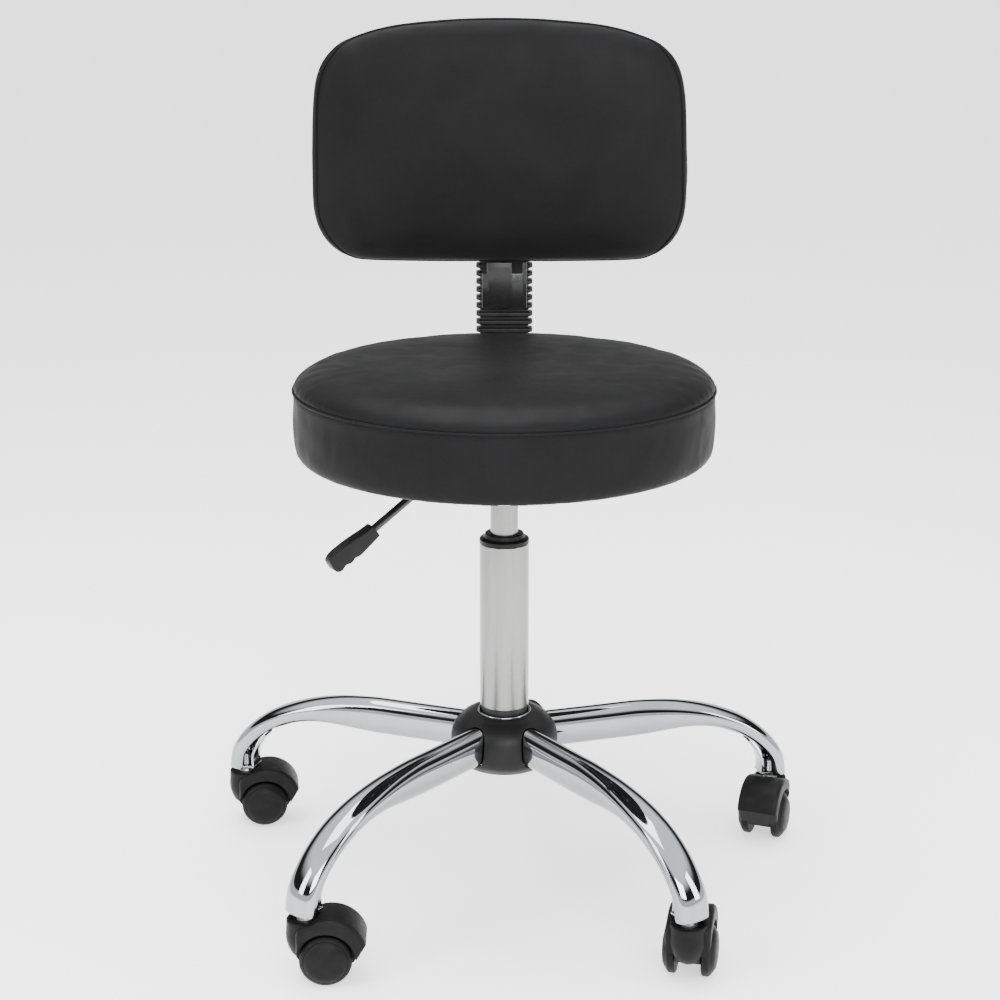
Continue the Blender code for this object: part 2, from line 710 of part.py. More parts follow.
def back_cushion():
    layers = [(0.006, BACK_REAR), (0.0015, BACK_REAR - 0.006), (0.0, BACK_REAR - 0.016)]
    layers += [(0.0, BACK_FRONT + 0.022), (0.004, BACK_FRONT + 0.0115), (0.014, BACK_FRONT + 0.0055)]
    layers += [(0.045, BACK_FRONT + 0.0010), (0.085, BACK_FRONT)]
    rings = [[(x + BACK_OFFSET, y, z) for x, z in back_outline(inset)] for inset, y in layers]
    return lofted(rings)


def back_board():
    centre_z = (BACK_TOP + BACK_BOTTOM) / 2
    outline = [(x + BACK_OFFSET, z) for x, z in rounded_rectangle(0.165, 0.100, 0.040, 5)]
    board = extruded(outline, -0.0030, 0.0030)
    turn = Matrix.Translation((0, BACK_REAR + GAP + 0.0030, centre_z)) @ Matrix.Rotation(math.pi / 2, 4, "X")
    return moved(board, turn)


def back_housing():
    """The rear housing that slides on the bar, blind at its top."""
    front = BACK_REAR + 2 * GAP + 0.0060 + GAP
    rear = BAR_Y + 0.0170
    body = box((-0.0310, front, BELLOWS_TOP + 0.0007), (0.0310, rear, HOUSING_TOP), 0.0060)
    half = BAR_WIDTH / 2 + GAP
    slide = BAR_THICKNESS / 2 + GAP
    pocket = box((-half, BAR_Y - slide, 0.60), (half, BAR_Y + slide, HOUSING_TOP - 0.0150))
    knob_hole = moved(
        cylinder(0.0034, 0.0, 0.0400, 12),
        Matrix.Translation((0, BAR_Y, BACK_KNOB_HEIGHT)) @ Matrix.Rotation(-math.pi / 2, 4, "X"),
    )
    return combined(body, cut=(pocket, knob_hole))


def build_back(stool):
    add_piece("back_bar", bent_bar(), DARK_STEEL, stool)
    half = BAR_THICKNESS / 2 + GAP
    guide_top = PLATE_TOP - PLATE_THICKNESS - GAP
    guide = box((-0.0220, TRAY_HALF + GAP, BAR_LEVEL - 0.0068), (0.0220, 0.1200, guide_top))
    reach = BAR_WIDTH / 2 + GAP
    channel = box((-reach, 0.04, BAR_LEVEL - half), (reach, 0.13, BAR_LEVEL + half))
    knob_hole = moved(cylinder(0.0034, 0.42, BAR_LEVEL, 12), Matrix.Translation((0, DEPTH_KNOB_Y, 0)))
    add_piece("bar_guide", combined(guide, cut=(channel, knob_hole)), DARK_STEEL, stool)
    knob_place = (0, DEPTH_KNOB_Y, BAR_LEVEL - 0.0130)
    add_piece("depth_knob", star_knob(0.0096), BLACK_PLASTIC, stool, knob_place)
    add_piece("bellows", bellows(), BLACK_RUBBER, stool)
    add_piece("bar_sleeve", front_plate(), GLOSS_PLASTIC, stool)
    add_piece("back_bracket", back_housing(), BLACK_PLASTIC, stool)
    add_piece("back_board", back_board(), BLACK_PLASTIC, stool)
    add_piece("back_cushion", back_cushion(), BLACK_VINYL, stool)
    knob_place = (0, BAR_Y + 0.0210, BACK_KNOB_HEIGHT)
    add_piece("back_knob", star_knob(0.0174), BLACK_PLASTIC, stool, knob_place, (math.pi / 2, 0, 0))


# ---------------------------------------------------------------- casters


def wheel():
    """A wheel round +Y with its domed face out and a blind bore in its inner face at y = 0."""
    profile = [
        (0.0, WHEEL_WIDTH),
        (0.0165, WHEEL_WIDTH - 0.0010),
        (0.0232, WHEEL_WIDTH - 0.0050),
        (WHEEL_RADIUS, WHEEL_WIDTH - 0.0090),
        (WHEEL_RADIUS, 0.0),
        (AXLE_RADIUS + RUNNING_GAP, 0.0),
        (AXLE_RADIUS + RUNNING_GAP, 0.0100),
        (0.0, 0.0100),
    ]
    half_step = Matrix.Rotation(math.pi / WHEEL_STEPS, 4, "Y")
    return moved(turned(profile, WHEEL_STEPS), half_step @ Matrix.Rotation(-math.pi / 2, 4, "X"))


def hood():
    """The hood with its stem on the Z axis and its wheels' axle at x = TRAIL."""
    dome = arc((TRAIL + 0.0045, 0.0315), 0.0340, 14, 118, 8)
    belly = [(-0.0060, 0.0570), (-0.0080, 0.0500), (-0.0080, 0.0260)]
    skirt = [(-0.0050, 0.0215), (TRAIL - 0.0080, 0.0150), (TRAIL + 0.0060, 0.0140), (TRAIL + 0.0255, 0.0195)]
    side = extruded(dome + belly + skirt, -0.0215, 0.0215)
    fender = bevelled(moved(side, Matrix.Rotation(math.pi / 2, 4, "X")), 0.0055, 2, math.radians(50))
    neck = turned(
        [
            (0.0, NECK_TOP),
            (NECK_RADIUS - 0.0010, NECK_TOP),
            (NECK_RADIUS, NECK_TOP - 0.0015),
            (NECK_RADIUS, 0.0560),
            (NECK_RADIUS + 0.0005, 0.0400),
            (NECK_RADIUS - 0.0040, 0.0270),
            (NECK_RADIUS - 0.0100, 0.0215),
            (0.0, 0.0215),
        ],
        20,
    )
    wells = []
    for side_sign in (-1, 1):
        low, high = sorted((side_sign * (WHEEL_INNER - GAP), side_sign * 0.0400))
        well = moved(cylinder(WHEEL_RADIUS + 0.0035, low, high, 24), Matrix.Rotation(math.pi / 2, 4, "X"))
        wells.append(moved(well, Matrix.Translation((TRAIL, 0, AXLE_HEIGHT))))
    recess = cylinder(NECK_RADIUS - 0.0035, NECK_FLOOR, NECK_TOP + 0.010, 20)
    stem_bore = cylinder(STEM_RADIUS + RUNNING_GAP, STEM_BOTTOM - GAP, NECK_TOP + 0.001, 16)
    axle_bore = moved(cylinder(AXLE_RADIUS + GAP, -0.02, 0.02, 12), Matrix.Rotation(math.pi / 2, 4, "X"))
    axle_bore = moved(axle_bore, Matrix.Translation((TRAIL, 0, AXLE_HEIGHT)))
    return combined(fender, join=(neck,), cut=(*wells, recess, stem_bore, axle_bore))


def stem():
    collar = NECK_FLOOR + GAP
    flange = STEM_RADIUS + 0.0025
    ledge = collar + 0.0020
    upper = [(0.0, STEM_TOP), (STEM_RADIUS, STEM_TOP), (STEM_RADIUS, ledge), (flange, ledge)]
    lower = [(flange, collar), (STEM_RADIUS, collar), (STEM_RADIUS, STEM_BOTTOM), (0.0, STEM_BOTTOM)]
    return turned(upper + lower, 12)


def build_casters(stool):
    hood_mesh = hood()
    stem_mesh = stem()
    wheel_mesh = wheel()
    reach = WHEEL_INNER + 0.0097
    axle_mesh = moved(cylinder(AXLE_RADIUS, -reach, reach, 12), Matrix.Rotation(math.pi / 2, 4, "X"))
    for number in range(ARM_COUNT):
        turn = arm_angle(number)
        place = (STEM_RADIUS_OUT * math.cos(turn), STEM_RADIUS_OUT * math.sin(turn), 0)
        name = f"caster_{number + 1}"
        add_piece(f"{name}_stem", stem_mesh, BARE_STEEL, stool, place)
        swivel = add_empty(f"{name}_swivel", stool, place, CASTER_HEADINGS[number])
        add_piece(f"{name}_hood", hood_mesh, BLACK_PLASTIC, swivel)
        axle_place = (TRAIL, 0, AXLE_HEIGHT)
        add_piece(f"{name}_axle", axle_mesh, BARE_STEEL, swivel, axle_place)
        left_place = (TRAIL, WHEEL_INNER, AXLE_HEIGHT)
        right_place = (TRAIL, -WHEEL_INNER, AXLE_HEIGHT)
        add_piece(f"{name}_wheel_left", wheel_mesh, BLACK_PLASTIC, swivel, left_place)
        add_piece(f"{name}_wheel_right", wheel_mesh, BLACK_PLASTIC, swivel, right_place, (0, 0, math.pi))


def main():
    stool = add_empty("stool", location=(COLUMN_X, COLUMN_Y, 0))
    build_base(stool)
    build_gas_lift(stool)
    build_seat(stool)
    build_lever(stool)
    build_back(stool)
    build_casters(stool)


main()
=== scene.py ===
import json
import math

import bmesh
import bpy
from mathutils import Matrix, Vector
from mathutils.bvhtree import BVHTree

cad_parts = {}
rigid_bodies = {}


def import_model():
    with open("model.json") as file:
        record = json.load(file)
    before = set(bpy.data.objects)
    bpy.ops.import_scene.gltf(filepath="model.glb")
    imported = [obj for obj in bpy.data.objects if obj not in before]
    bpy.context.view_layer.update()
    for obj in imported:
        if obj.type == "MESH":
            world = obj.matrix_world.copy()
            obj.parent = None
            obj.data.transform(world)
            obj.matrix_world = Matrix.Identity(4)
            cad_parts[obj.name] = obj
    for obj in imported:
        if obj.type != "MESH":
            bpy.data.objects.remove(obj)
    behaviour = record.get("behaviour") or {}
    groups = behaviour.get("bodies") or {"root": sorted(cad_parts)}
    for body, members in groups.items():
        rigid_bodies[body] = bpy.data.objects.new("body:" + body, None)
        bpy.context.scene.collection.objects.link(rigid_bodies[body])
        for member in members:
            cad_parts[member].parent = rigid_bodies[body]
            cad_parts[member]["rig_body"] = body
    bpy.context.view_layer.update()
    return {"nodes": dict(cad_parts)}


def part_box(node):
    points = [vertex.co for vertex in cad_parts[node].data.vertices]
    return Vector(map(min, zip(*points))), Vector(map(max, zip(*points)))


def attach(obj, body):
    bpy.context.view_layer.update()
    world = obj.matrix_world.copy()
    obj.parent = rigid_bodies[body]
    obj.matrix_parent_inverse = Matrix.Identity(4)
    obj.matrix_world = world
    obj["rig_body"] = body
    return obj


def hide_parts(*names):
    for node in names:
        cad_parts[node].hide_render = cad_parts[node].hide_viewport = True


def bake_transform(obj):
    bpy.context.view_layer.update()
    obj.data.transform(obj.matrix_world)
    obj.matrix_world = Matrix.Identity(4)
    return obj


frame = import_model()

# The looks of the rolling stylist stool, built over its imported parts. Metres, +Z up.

NODES = frame["nodes"]

GAP = 0.0003

# Base, measured from the column's axis
ARM_WALL = 0.0016
ARM_SIDES = 48
ARM_ROWS = 84
ARM_HEIGHT = 0.1440  # of the arms' middle where they enter the hub
OPEN_FROM = 0.2480  # the tube's underside is cut away from here outwards
OPEN_HALF_ANGLE = math.radians(45)
HUB_BOTTOM = 0.1155
HUB_TOP = 0.1700
HUB_RADIUS = 0.0550
RING_RADIUS = 0.0270  # the bright ring at the mouth of the hub
RECESS_TOP = 0.1775  # the dark recess between the hub and the column's lower edge

# Gas lift
COLUMN_RADIUS = 0.0250
COLUMN_TOP = 0.3505
CYLINDER_RADIUS = 0.0140

# Seat
SEAT_RADIUS = 0.2090
SEAT_BOTTOM = 0.4419
SEAM_HEIGHT = 0.5115
CROWN_TOP = 0.5370
BOARD_RADIUS = 0.1950
BOARD_TOP = 0.4588
PLATE_TOP = 0.4465
PLATE_THICKNESS = 0.0030

# Lever
LEVER_PIVOT = 0.0450
LEVER_RADIUS = 0.0040
LEVER_HEIGHT = 0.4343
LEVER_BEND = 0.0715
LEVER_DROP = math.radians(32.5)
LEVER_ANGLE = math.radians(210.8)
HANDLE_START = 0.1470
HANDLE_LENGTH = 0.0560

# Back
BAR_WIDTH = 0.0300
BAR_THICKNESS = 0.0060
BAR_Y = 0.2620
BELLOWS_BOTTOM = 0.4700
BELLOWS_TOP = 0.6235
BELLOWS_TEETH = 17
BACK_BOTTOM = 0.6035
BACK_TOP = 0.8625
BACK_HALF_WIDTH = 0.2030
BACK_FRONT = 0.1900
BACK_REAR = 0.2425
BACK_OFFSET = -0.0045  # the pad sits a little to one side of its bar
HOUSING_TOP = 0.8150
BACK_KNOB_HEIGHT = 0.6650

# Casters
WHEEL_INNER = 0.0122
WHEEL_WIDTH = 0.0138
AXLE_RADIUS = 0.0030
TRAIL = 0.0193
STEM_RADIUS = 0.0055
STEM_BOTTOM = 0.0300
STEM_TOP = 0.0785
NECK_RADIUS = 0.0173
NECK_TOP = 0.0600

# Upholstery
PAD_CELL = 0.0055
PAD_SWELL = 0.0022  # how far the pressed foam may push its cover out
SEAM_DEPTH = 0.0014
SEAM_REACH = 0.0045
WELT_RADIUS = 0.0013
BACK_SEAM_DEPTH = 0.0007
BACK_WELT_RADIUS = 0.0006
CLOTH_PRESSURE = 4.0
CLOTH_FRAMES = 20

# Studio
FLOOR_RADIUS = 90.0
FLOOR_GLOW = 0.9
CAMERA_LENS = 68.55
CAMERA_SHIFT = (-0.0043, -0.0538)
CAMERA_DISTANCE = 1.84417
CAMERA_HEIGHT = 0.90720
CAMERA_PITCH = math.radians(76.076)


def middle(node):
    low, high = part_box(node)
    return (low + high) / 2


COLUMN = middle("column_tube")
COLUMN.z = 0.0
AROUND_COLUMN = Matrix.Translation(COLUMN)


# ---------------------------------------------------------------- materials


def start_material(name, metallic, specular):
    material = bpy.data.materials.new(name)
    material.use_nodes = True
    shader = material.node_tree.nodes["Principled BSDF"]
    shader.inputs["Metallic"].default_value = metallic
    shader.inputs["Specular IOR Level"].default_value = specular
    return material, material.node_tree, shader


def coordinates(tree, stretch):
    place = tree.nodes.new("ShaderNodeTexCoord")
    mapping = tree.nodes.new("ShaderNodeMapping")
    mapping.inputs["Scale"].default_value = stretch
    tree.links.new(place.outputs["Object"], mapping.inputs["Vector"])
    return mapping.outputs["Vector"]


def noise(tree, vector, scale, detail=4.0, distortion=0.0):
    node = tree.nodes.new("ShaderNodeTexNoise")
    node.inputs["Scale"].default_value = scale
    node.inputs["Detail"].default_value = detail
    node.inputs["Distortion"].default_value = distortion
    tree.links.new(vector, node.inputs["Vector"])
    return node.outputs["Fac"]


def cells(tree, vector, scale):
    node = tree.nodes.new("ShaderNodeTexVoronoi")
    node.feature = "SMOOTH_F1"
    node.inputs["Scale"].default_value = scale
    tree.links.new(vector, node.inputs["Vector"])
    return node.outputs["Distance"]


def ranged(tree, value, low, high):
    node = tree.nodes.new("ShaderNodeMapRange")
    node.inputs["From Min"].default_value = 0.3
    node.inputs["From Max"].default_value = 0.7
    node.inputs["To Min"].default_value = low
    node.inputs["To Max"].default_value = high
    tree.links.new(value, node.inputs["Value"])
    return node.outputs["Result"]


def ramp(tree, value, first, second):
    node = tree.nodes.new("ShaderNodeValToRGB")
    node.color_ramp.elements[0].position = 0.32
    node.color_ramp.elements[1].position = 0.68
    node.color_ramp.elements[0].color = (*first, 1.0)
    node.color_ramp.elements[1].color = (*second, 1.0)
    tree.links.new(value, node.inputs["Fac"])
    return node.outputs["Color"]


def added(tree, first, second, share):
    node = tree.nodes.new("ShaderNodeMath")
    node.operation = "MULTIPLY_ADD"
    node.inputs[1].default_value = share
    tree.links.new(second, node.inputs[0])
    tree.links.new(first, node.inputs[2])
    return node.outputs["Value"]


def bump(tree, shader, height, strength, distance):
    node = tree.nodes.new("ShaderNodeBump")
    node.inputs["Strength"].default_value = strength
    node.inputs["Distance"].default_value = distance
    tree.links.new(height, node.inputs["Height"])
    tree.links.new(node.outputs["Normal"], shader.inputs["Normal"])


def finish_of(
    name,
    colors,
    roughness,
    bump_size,
    metallic=0.0,
    specular=0.5,
    stretch=(1, 1, 1),
    grain=900.0,
    patch=14.0,
):
    """A finish with patchy colour, patchy roughness and a fine grain."""
    material, tree, shader = start_material(name, metallic, specular)
    vector = coordinates(tree, stretch)
    broad = noise(tree, vector, patch, 6.0, 0.4)
    fine = noise(tree, vector, grain, 5.0)
    tree.links.new(ramp(tree, added(tree, broad, fine, 0.12), *colors), shader.inputs["Base Color"])
    worn = noise(tree, vector, patch * 3.7, 8.0, 0.8)
    tree.links.new(ranged(tree, worn, *roughness), shader.inputs["Roughness"])
    bump(tree, shader, fine, 0.35, bump_size)
    return material


def vinyl_finish():
    """Black vinyl with a pressed leather grain."""
    material, tree, shader = start_material("vinyl", 0.0, 0.05)
    vector = coordinates(tree, (1, 1, 1))
    broad = noise(tree, vector, 9.0, 5.0, 0.5)
    pores = cells(tree, vector, 620.0)
    creases = noise(tree, vector, 260.0, 6.0, 1.2)
    grain = added(tree, pores, creases, 0.7)
    color = ramp(tree, added(tree, broad, creases, 0.10), (0.0046, 0.0046, 0.0049), (0.0064, 0.0064, 0.0068))
    tree.links.new(color, shader.inputs["Base Color"])
    worn = noise(tree, vector, 31.0, 7.0, 0.6)
    tree.links.new(ranged(tree, added(tree, worn, pores, 0.08), 0.46, 0.56), shader.inputs["Roughness"])
    bump(tree, shader, grain, 0.30, 0.00018)
    return material


def wood_finish():
    """Birch plywood: long grain, darker growth lines and a dry surface."""
    material, tree, shader = start_material("birch", 0.0, 0.4)
    vector = coordinates(tree, (1.0, 9.0, 1.0))
    rings = tree.nodes.new("ShaderNodeTexWave")
    rings.inputs["Scale"].default_value = 11.0
    rings.inputs["Distortion"].default_value = 7.0
    rings.inputs["Detail"].default_value = 4.0
    rings.inputs["Detail Scale"].default_value = 2.0
    tree.links.new(vector, rings.inputs["Vector"])
    fibres = noise(tree, vector, 180.0, 6.0)
    lines = added(tree, rings.outputs["Fac"], fibres, 0.35)
    tree.links.new(ramp(tree, lines, (0.56, 0.40, 0.24), (0.40, 0.26, 0.14)), shader.inputs["Base Color"])
    tree.links.new(ranged(tree, fibres, 0.58, 0.78), shader.inputs["Roughness"])
    bump(tree, shader, lines, 0.25, 0.0003)
    return material


CHROME = finish_of(
    "chrome_plate",
    ((0.26, 0.265, 0.275), (0.31, 0.315, 0.325)),
    (0.035, 0.075),
    0.000004,
    metallic=1.0,
    grain=420.0,
    patch=11.0,
)
SATIN = finish_of(
    "satin_plate",
    ((0.20, 0.20, 0.20), (0.25, 0.25, 0.245)),
    (0.24, 0.34),
    0.00001,
    metallic=1.0,
    stretch=(1, 1, 0.04),
    grain=2600.0,
    patch=60.0,
)
ZINC = finish_of(
    "zinc_plate",
    ((0.42, 0.42, 0.43), (0.60, 0.60, 0.59)),
    (0.26, 0.42),
    0.00003,
    metallic=1.0,
    grain=1500.0,
    patch=120.0,
)
POWDER_COAT = finish_of(
    "powder_coat",
    ((0.006, 0.006, 0.0065), (0.010, 0.010, 0.0105)),
    (0.34, 0.46),
    0.00008,
    specular=0.30,
    grain=1400.0,
    patch=25.0,
)
BLACK_PLASTIC = finish_of(
    "textured_plastic",
    ((0.0040, 0.0040, 0.0043), (0.0064, 0.0064, 0.0068)),
    (0.38, 0.50),
    0.00006,
    specular=0.15,
    grain=2200.0,
    patch=30.0,
)
GLOSS_PLASTIC = finish_of(
    "gloss_plastic_skin",
    ((0.006, 0.006, 0.0065), (0.009, 0.009, 0.0095)),
    (0.14, 0.24),
    0.00001,
    specular=0.5,
    grain=700.0,
    patch=40.0,
)
CASTER_PLASTIC = finish_of(
    "caster_plastic",
    ((0.0030, 0.0030, 0.0030), (0.0052, 0.0052, 0.0051)),
    (0.40, 0.54),
    0.00006,
    specular=0.09,
    grain=1300.0,
    patch=70.0,
)
RUBBER = finish_of(
    "ribbed_rubber",
    ((0.0050, 0.0050, 0.0050), (0.0090, 0.0090, 0.0090)),
    (0.40, 0.54),
    0.00005,
    specular=0.22,
    grain=1700.0,
    patch=50.0,
)
LINING = finish_of(
    "woven_lining",
    ((0.006, 0.006, 0.006), (0.014, 0.014, 0.014)),
    (0.72, 0.90),
    0.00025,
    specular=0.15,
    grain=1100.0,
    patch=40.0,
)
FLOOR = finish_of(
    "studio_floor",
    ((0.86, 0.86, 0.86), (0.88, 0.88, 0.88)),
    (0.55, 0.65),
    0.00001,
    specular=0.3,
    grain=60.0,
    patch=0.7,
)
FLOOR_SHADER = FLOOR.node_tree.nodes["Principled BSDF"]
FLOOR_SHADER.inputs["Emission Color"].default_value = (1.0, 1.0, 1.0, 1.0)
FLOOR_SHADER.inputs["Emission Strength"].default_value = FLOOR_GLOW
VINYL = vinyl_finish()
WOOD = wood_finish()


# ---------------------------------------------------------------- shaping tools


def helper(mesh):
    """An object that only lives while its modifiers are worked out."""
    obj = bpy.data.objects.new("helper", mesh)
    bpy.context.scene.collection.objects.link(obj)
    return obj


def evaluated(obj):
    """The object's mesh with its modifiers applied; the object itself is removed."""
    bpy.context.view_layer.update()
    graph = bpy.context.evaluated_depsgraph_get()
    mesh = bpy.data.meshes.new_from_object(obj.evaluated_get(graph))
    bpy.data.objects.remove(obj)
    return mesh


def from_bmesh(work):
    mesh = bpy.data.meshes.new("shape")
    work.to_mesh(mesh)
    work.free()
    return mesh


def moved(mesh, matrix):
    mesh.transform(matrix)
    return mesh


def box(low, high, bevel=0.0, segments=3):
    size = [top - bottom for bottom, top in zip(low, high)]
    centre = [(top + bottom) / 2 for bottom, top in zip(low, high)]
    work = bmesh.new()
    bmesh.ops.create_cube(work, size=1.0)
    bmesh.ops.scale(work, vec=size, verts=work.verts)
    bmesh.ops.translate(work, vec=centre, verts=work.verts)
    if bevel:
        bmesh.ops.bevel(
            work, geom=list(work.edges), offset=bevel, segments=segments, affect="EDGES", profile=0.5
        )
    return from_bmesh(work)


def cylinder(radius, low, high, segments=40):
    """A round bar along Z from low to high."""
    work = bmesh.new()
    bmesh.ops.create_cone(
        work, cap_ends=True, segments=segments, radius1=radius, radius2=radius, depth=high - low
    )
    bmesh.ops.translate(work, vec=(0, 0, (low + high) / 2), verts=work.verts)
    return from_bmesh(work)


def turned(profile, steps=96):
    """Turns (radius, height) points round Z. A profile that starts off the axis is closed into a ring."""
    points = [(radius, 0.0, height) for radius, height in profile]
    edges = [(index, index + 1) for index in range(len(points) - 1)]
    if profile[0][0] > 0:
        edges.append((len(points) - 1, 0))
    mesh = bpy.data.meshes.new("profile")
    mesh.from_pydata(points, edges, [])
    obj = helper(mesh)
    screw = obj.modifiers.new("Screw", "SCREW")
    screw.steps = steps
    screw.render_steps = steps
    screw.use_merge_vertices = True
    screw.merge_threshold = 0.000001
    return evaluated(obj)


def extruded(outline, low, high):
    """A flat outline in X and Y, given height from low to high."""
    work = bmesh.new()
    under = [work.verts.new((x, y, low)) for x, y in outline]
    over = [work.verts.new((x, y, high)) for x, y in outline]
    count = len(outline)
    for index in range(count):
        after = (index + 1) % count
        work.faces.new((under[index], under[after], over[after], over[index]))
    work.faces.new(list(reversed(under)))
    work.faces.new(over)
    bmesh.ops.recalc_face_normals(work, faces=work.faces)
    return from_bmesh(work)


def bevelled(mesh, width, segments=3, angle=math.radians(40)):
    """Rounds the edges that are sharper than the angle."""
    obj = helper(mesh)
    bevel = obj.modifiers.new("Bevel", "BEVEL")
    bevel.width = width
    bevel.segments = segments
    bevel.limit_method = "ANGLE"
    bevel.angle_limit = angle
    return evaluated(obj)


def combined(base, join=(), cut=()):
    """The base with other shapes joined on, and then others cut away."""
    obj = helper(base)
    tools = []
    for operation, shapes in (("UNION", join), ("DIFFERENCE", cut)):
        for shape in shapes:
            tool = helper(shape)
            modifier = obj.modifiers.new(operation, "BOOLEAN")
            modifier.operation = operation
            modifier.object = tool
            tools.append(tool)
    mesh = evaluated(obj)
    for tool in tools:
        bpy.data.objects.remove(tool)
    return mesh


def joined(meshes):
    """Several loose shapes as one mesh."""
    work = bmesh.new()
    for mesh in meshes:
        work.from_mesh(mesh)
    return from_bmesh(work)


def arc(centre, radius, start, end, count):
    """Points on a circle, angles in degrees."""
    angles = [math.radians(start + (end - start) * step / (count - 1)) for step in range(count)]
    return [(centre[0] + radius * math.cos(a), centre[1] + radius * math.sin(a)) for a in angles]


def rounded_rectangle(half_x, half_y, radius, corner_points=8):
    outline = []
    for x_side, y_side, start in ((1, 1, 0), (-1, 1, 90), (-1, -1, 180), (1, -1, 270)):
        centre = (x_side * (half_x - radius), y_side * (half_y - radius))
        outline += arc(centre, radius, start, start + 90, corner_points)
    return outline


def smooth_line(points, count):
    """A smooth line through the points, as count points spaced by the line's length."""
    places = [Vector(point) for point in points]
    along = [0.0]
    for before, after in zip(places, places[1:]):
        along.append(along[-1] + (after - before).length)
    last = len(places) - 1
    slopes = []
    for index in range(len(places)):
        first, second = max(index - 1, 0), min(index + 1, last)
        slopes.append((places[second] - places[first]) / (along[second] - along[first]))
    line = []
    span = 0
    for step in range(count):
        distance = along[-1] * step / (count - 1)
        while span < last - 1 and distance > along[span + 1]:
            span += 1
        length = along[span + 1] - along[span]
        share = (distance - along[span]) / length
        start, end = places[span], places[span + 1]
        leave, arrive = slopes[span] * length, slopes[span + 1] * length
        squared, cubed = share**2, share**3
        line.append(
            start * (2 * cubed - 3 * squared + 1)
            + leave * (cubed - 2 * squared + share)
            + end * (3 * squared - 2 * cubed)
            + arrive * (cubed - squared)
        )
    return line


def lofted(rings, capped=True, keep=None):
    """Skins rings of equal length. keep(row, side) can leave a quad out of an open skin."""
    work = bmesh.new()
    rows = [[work.verts.new(point) for point in points] for points in rings]
    count = len(rows[0])
    for row in range(len(rows) - 1):
        for side in range(count):
            if keep and not keep(row, side):
                continue
            after = (side + 1) % count
            work.faces.new((rows[row][side], rows[row][after], rows[row + 1][after], rows[row + 1][side]))
    if capped:
        work.faces.new(list(reversed(rows[0])))
        work.faces.new(rows[-1])
    else:
        loose = [vert for vert in work.verts if not vert.link_faces]
        bmesh.ops.delete(work, geom=loose, context="VERTS")
    bmesh.ops.recalc_face_normals(work, faces=work.faces)
    return from_bmesh(work)


def tube(path, radius, closed=False, rounding=6):
    """A round cord along the path's points."""
    curve = bpy.data.curves.new("tube", "CURVE")
    curve.dimensions = "3D"
    curve.bevel_depth = radius
    curve.bevel_resolution = rounding
    curve.use_fill_caps = not closed
    spline = curve.splines.new("POLY")
    spline.points.add(len(path) - 1)
    for point, place in zip(spline.points, path):
        point.co = (*place, 1)
    spline.use_cyclic_u = closed
    mesh = evaluated(helper(curve))
    work = bmesh.new()
    work.from_mesh(mesh)
    bmesh.ops.remove_doubles(work, verts=work.verts, dist=0.00001)
    bmesh.ops.recalc_face_normals(work, faces=work.faces)
    return from_bmesh(work)


def add_piece(name, mesh, material, body=None, nodes=(), smooth_below=35):
    """Adds a finished piece. It rides on its body, which is that of the CAD nodes it stands for."""
    mesh.name = name
    mesh.materials.clear()
    mesh.materials.append(material)
    mesh.shade_smooth()
    mesh.set_sharp_from_angle(angle=math.radians(smooth_below))
    obj = bpy.data.objects.new(name, mesh)
    bpy.context.scene.collection.objects.link(obj)
    if nodes:
        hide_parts(*nodes)
    if body != "between":
        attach(obj, body or NODES[nodes[0]]["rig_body"])
    return obj


def repaint(material, *nodes):
    """Gives CAD nodes whose shape is kept a finished material."""
    for name in nodes:
        for used in NODES[name].material_slots:
            used.material = material


# ---------------------------------------------------------------- base

# The arm's centre line as (distance from the column's axis, height)
ARM_LINE = [
    (0.0305, 0.1440),
    (0.100, 0.1442),
    (0.155, 0.1445),
    (0.192, 0.1440),
    (0.222, 0.1400),
    (0.248, 0.1318),
    (0.270, 0.1200),
    (0.289, 0.1040),
    (0.3025, 0.0850),
    (0.3060, 0.0662),
]
TUBE_TALL = 0.0190  # half the tube's height beside the hub
TUBE_FLAT = 0.0105  # half its thickness at the outer end
TUBE_NARROW = 0.0140  # half its width beside the hub
TUBE_WIDE = 0.0172
SECTION_POWER = 0.85  # below 1 the section is squarer than an ellipse


def smooth_step(value, low, high):
    share = min(max((value - low) / (high - low), 0.0), 1.0)
    return share * share * (3 - 2 * share)


def side_angle(side):
    """The angle of a point of the tube's section, counted from the underside."""
    return 2 * math.pi * (side + 0.5) / ARM_SIDES


def tube_section(half_width, half_height):
    """Points of a squarish oval as (across, up), starting beside the underside."""
    points = []
    for side in range(ARM_SIDES):
        angle = side_angle(side) - math.pi / 2
        across, up = math.cos(angle), math.sin(angle)
        points.append(
            (
                half_width * math.copysign(abs(across) ** SECTION_POWER, across),
                half_height * math.copysign(abs(up) ** SECTION_POWER, up),
            )
        )
    return points


def arm_rings():
    line = smooth_line(ARM_LINE, ARM_ROWS)
    rings = []
    for index, centre in enumerate(line):
        step = line[min(index + 1, len(line) - 1)] - line[max(index - 1, 0)]
        run = Vector((step.x, 0, step.y)).normalized()
        across = Vector((0, 1, 0))
        up = run.cross(across)
        flattening = smooth_step(centre.x, 0.135, 0.250)
        half_width = TUBE_NARROW + (TUBE_WIDE - TUBE_NARROW) * flattening
        half_height = TUBE_TALL + (TUBE_FLAT - TUBE_TALL) * flattening
        section = tube_section(half_width, half_height)
        rings.append([Vector((centre.x, 0, centre.y)) + across * a + up * b for a, b in section])
    return rings


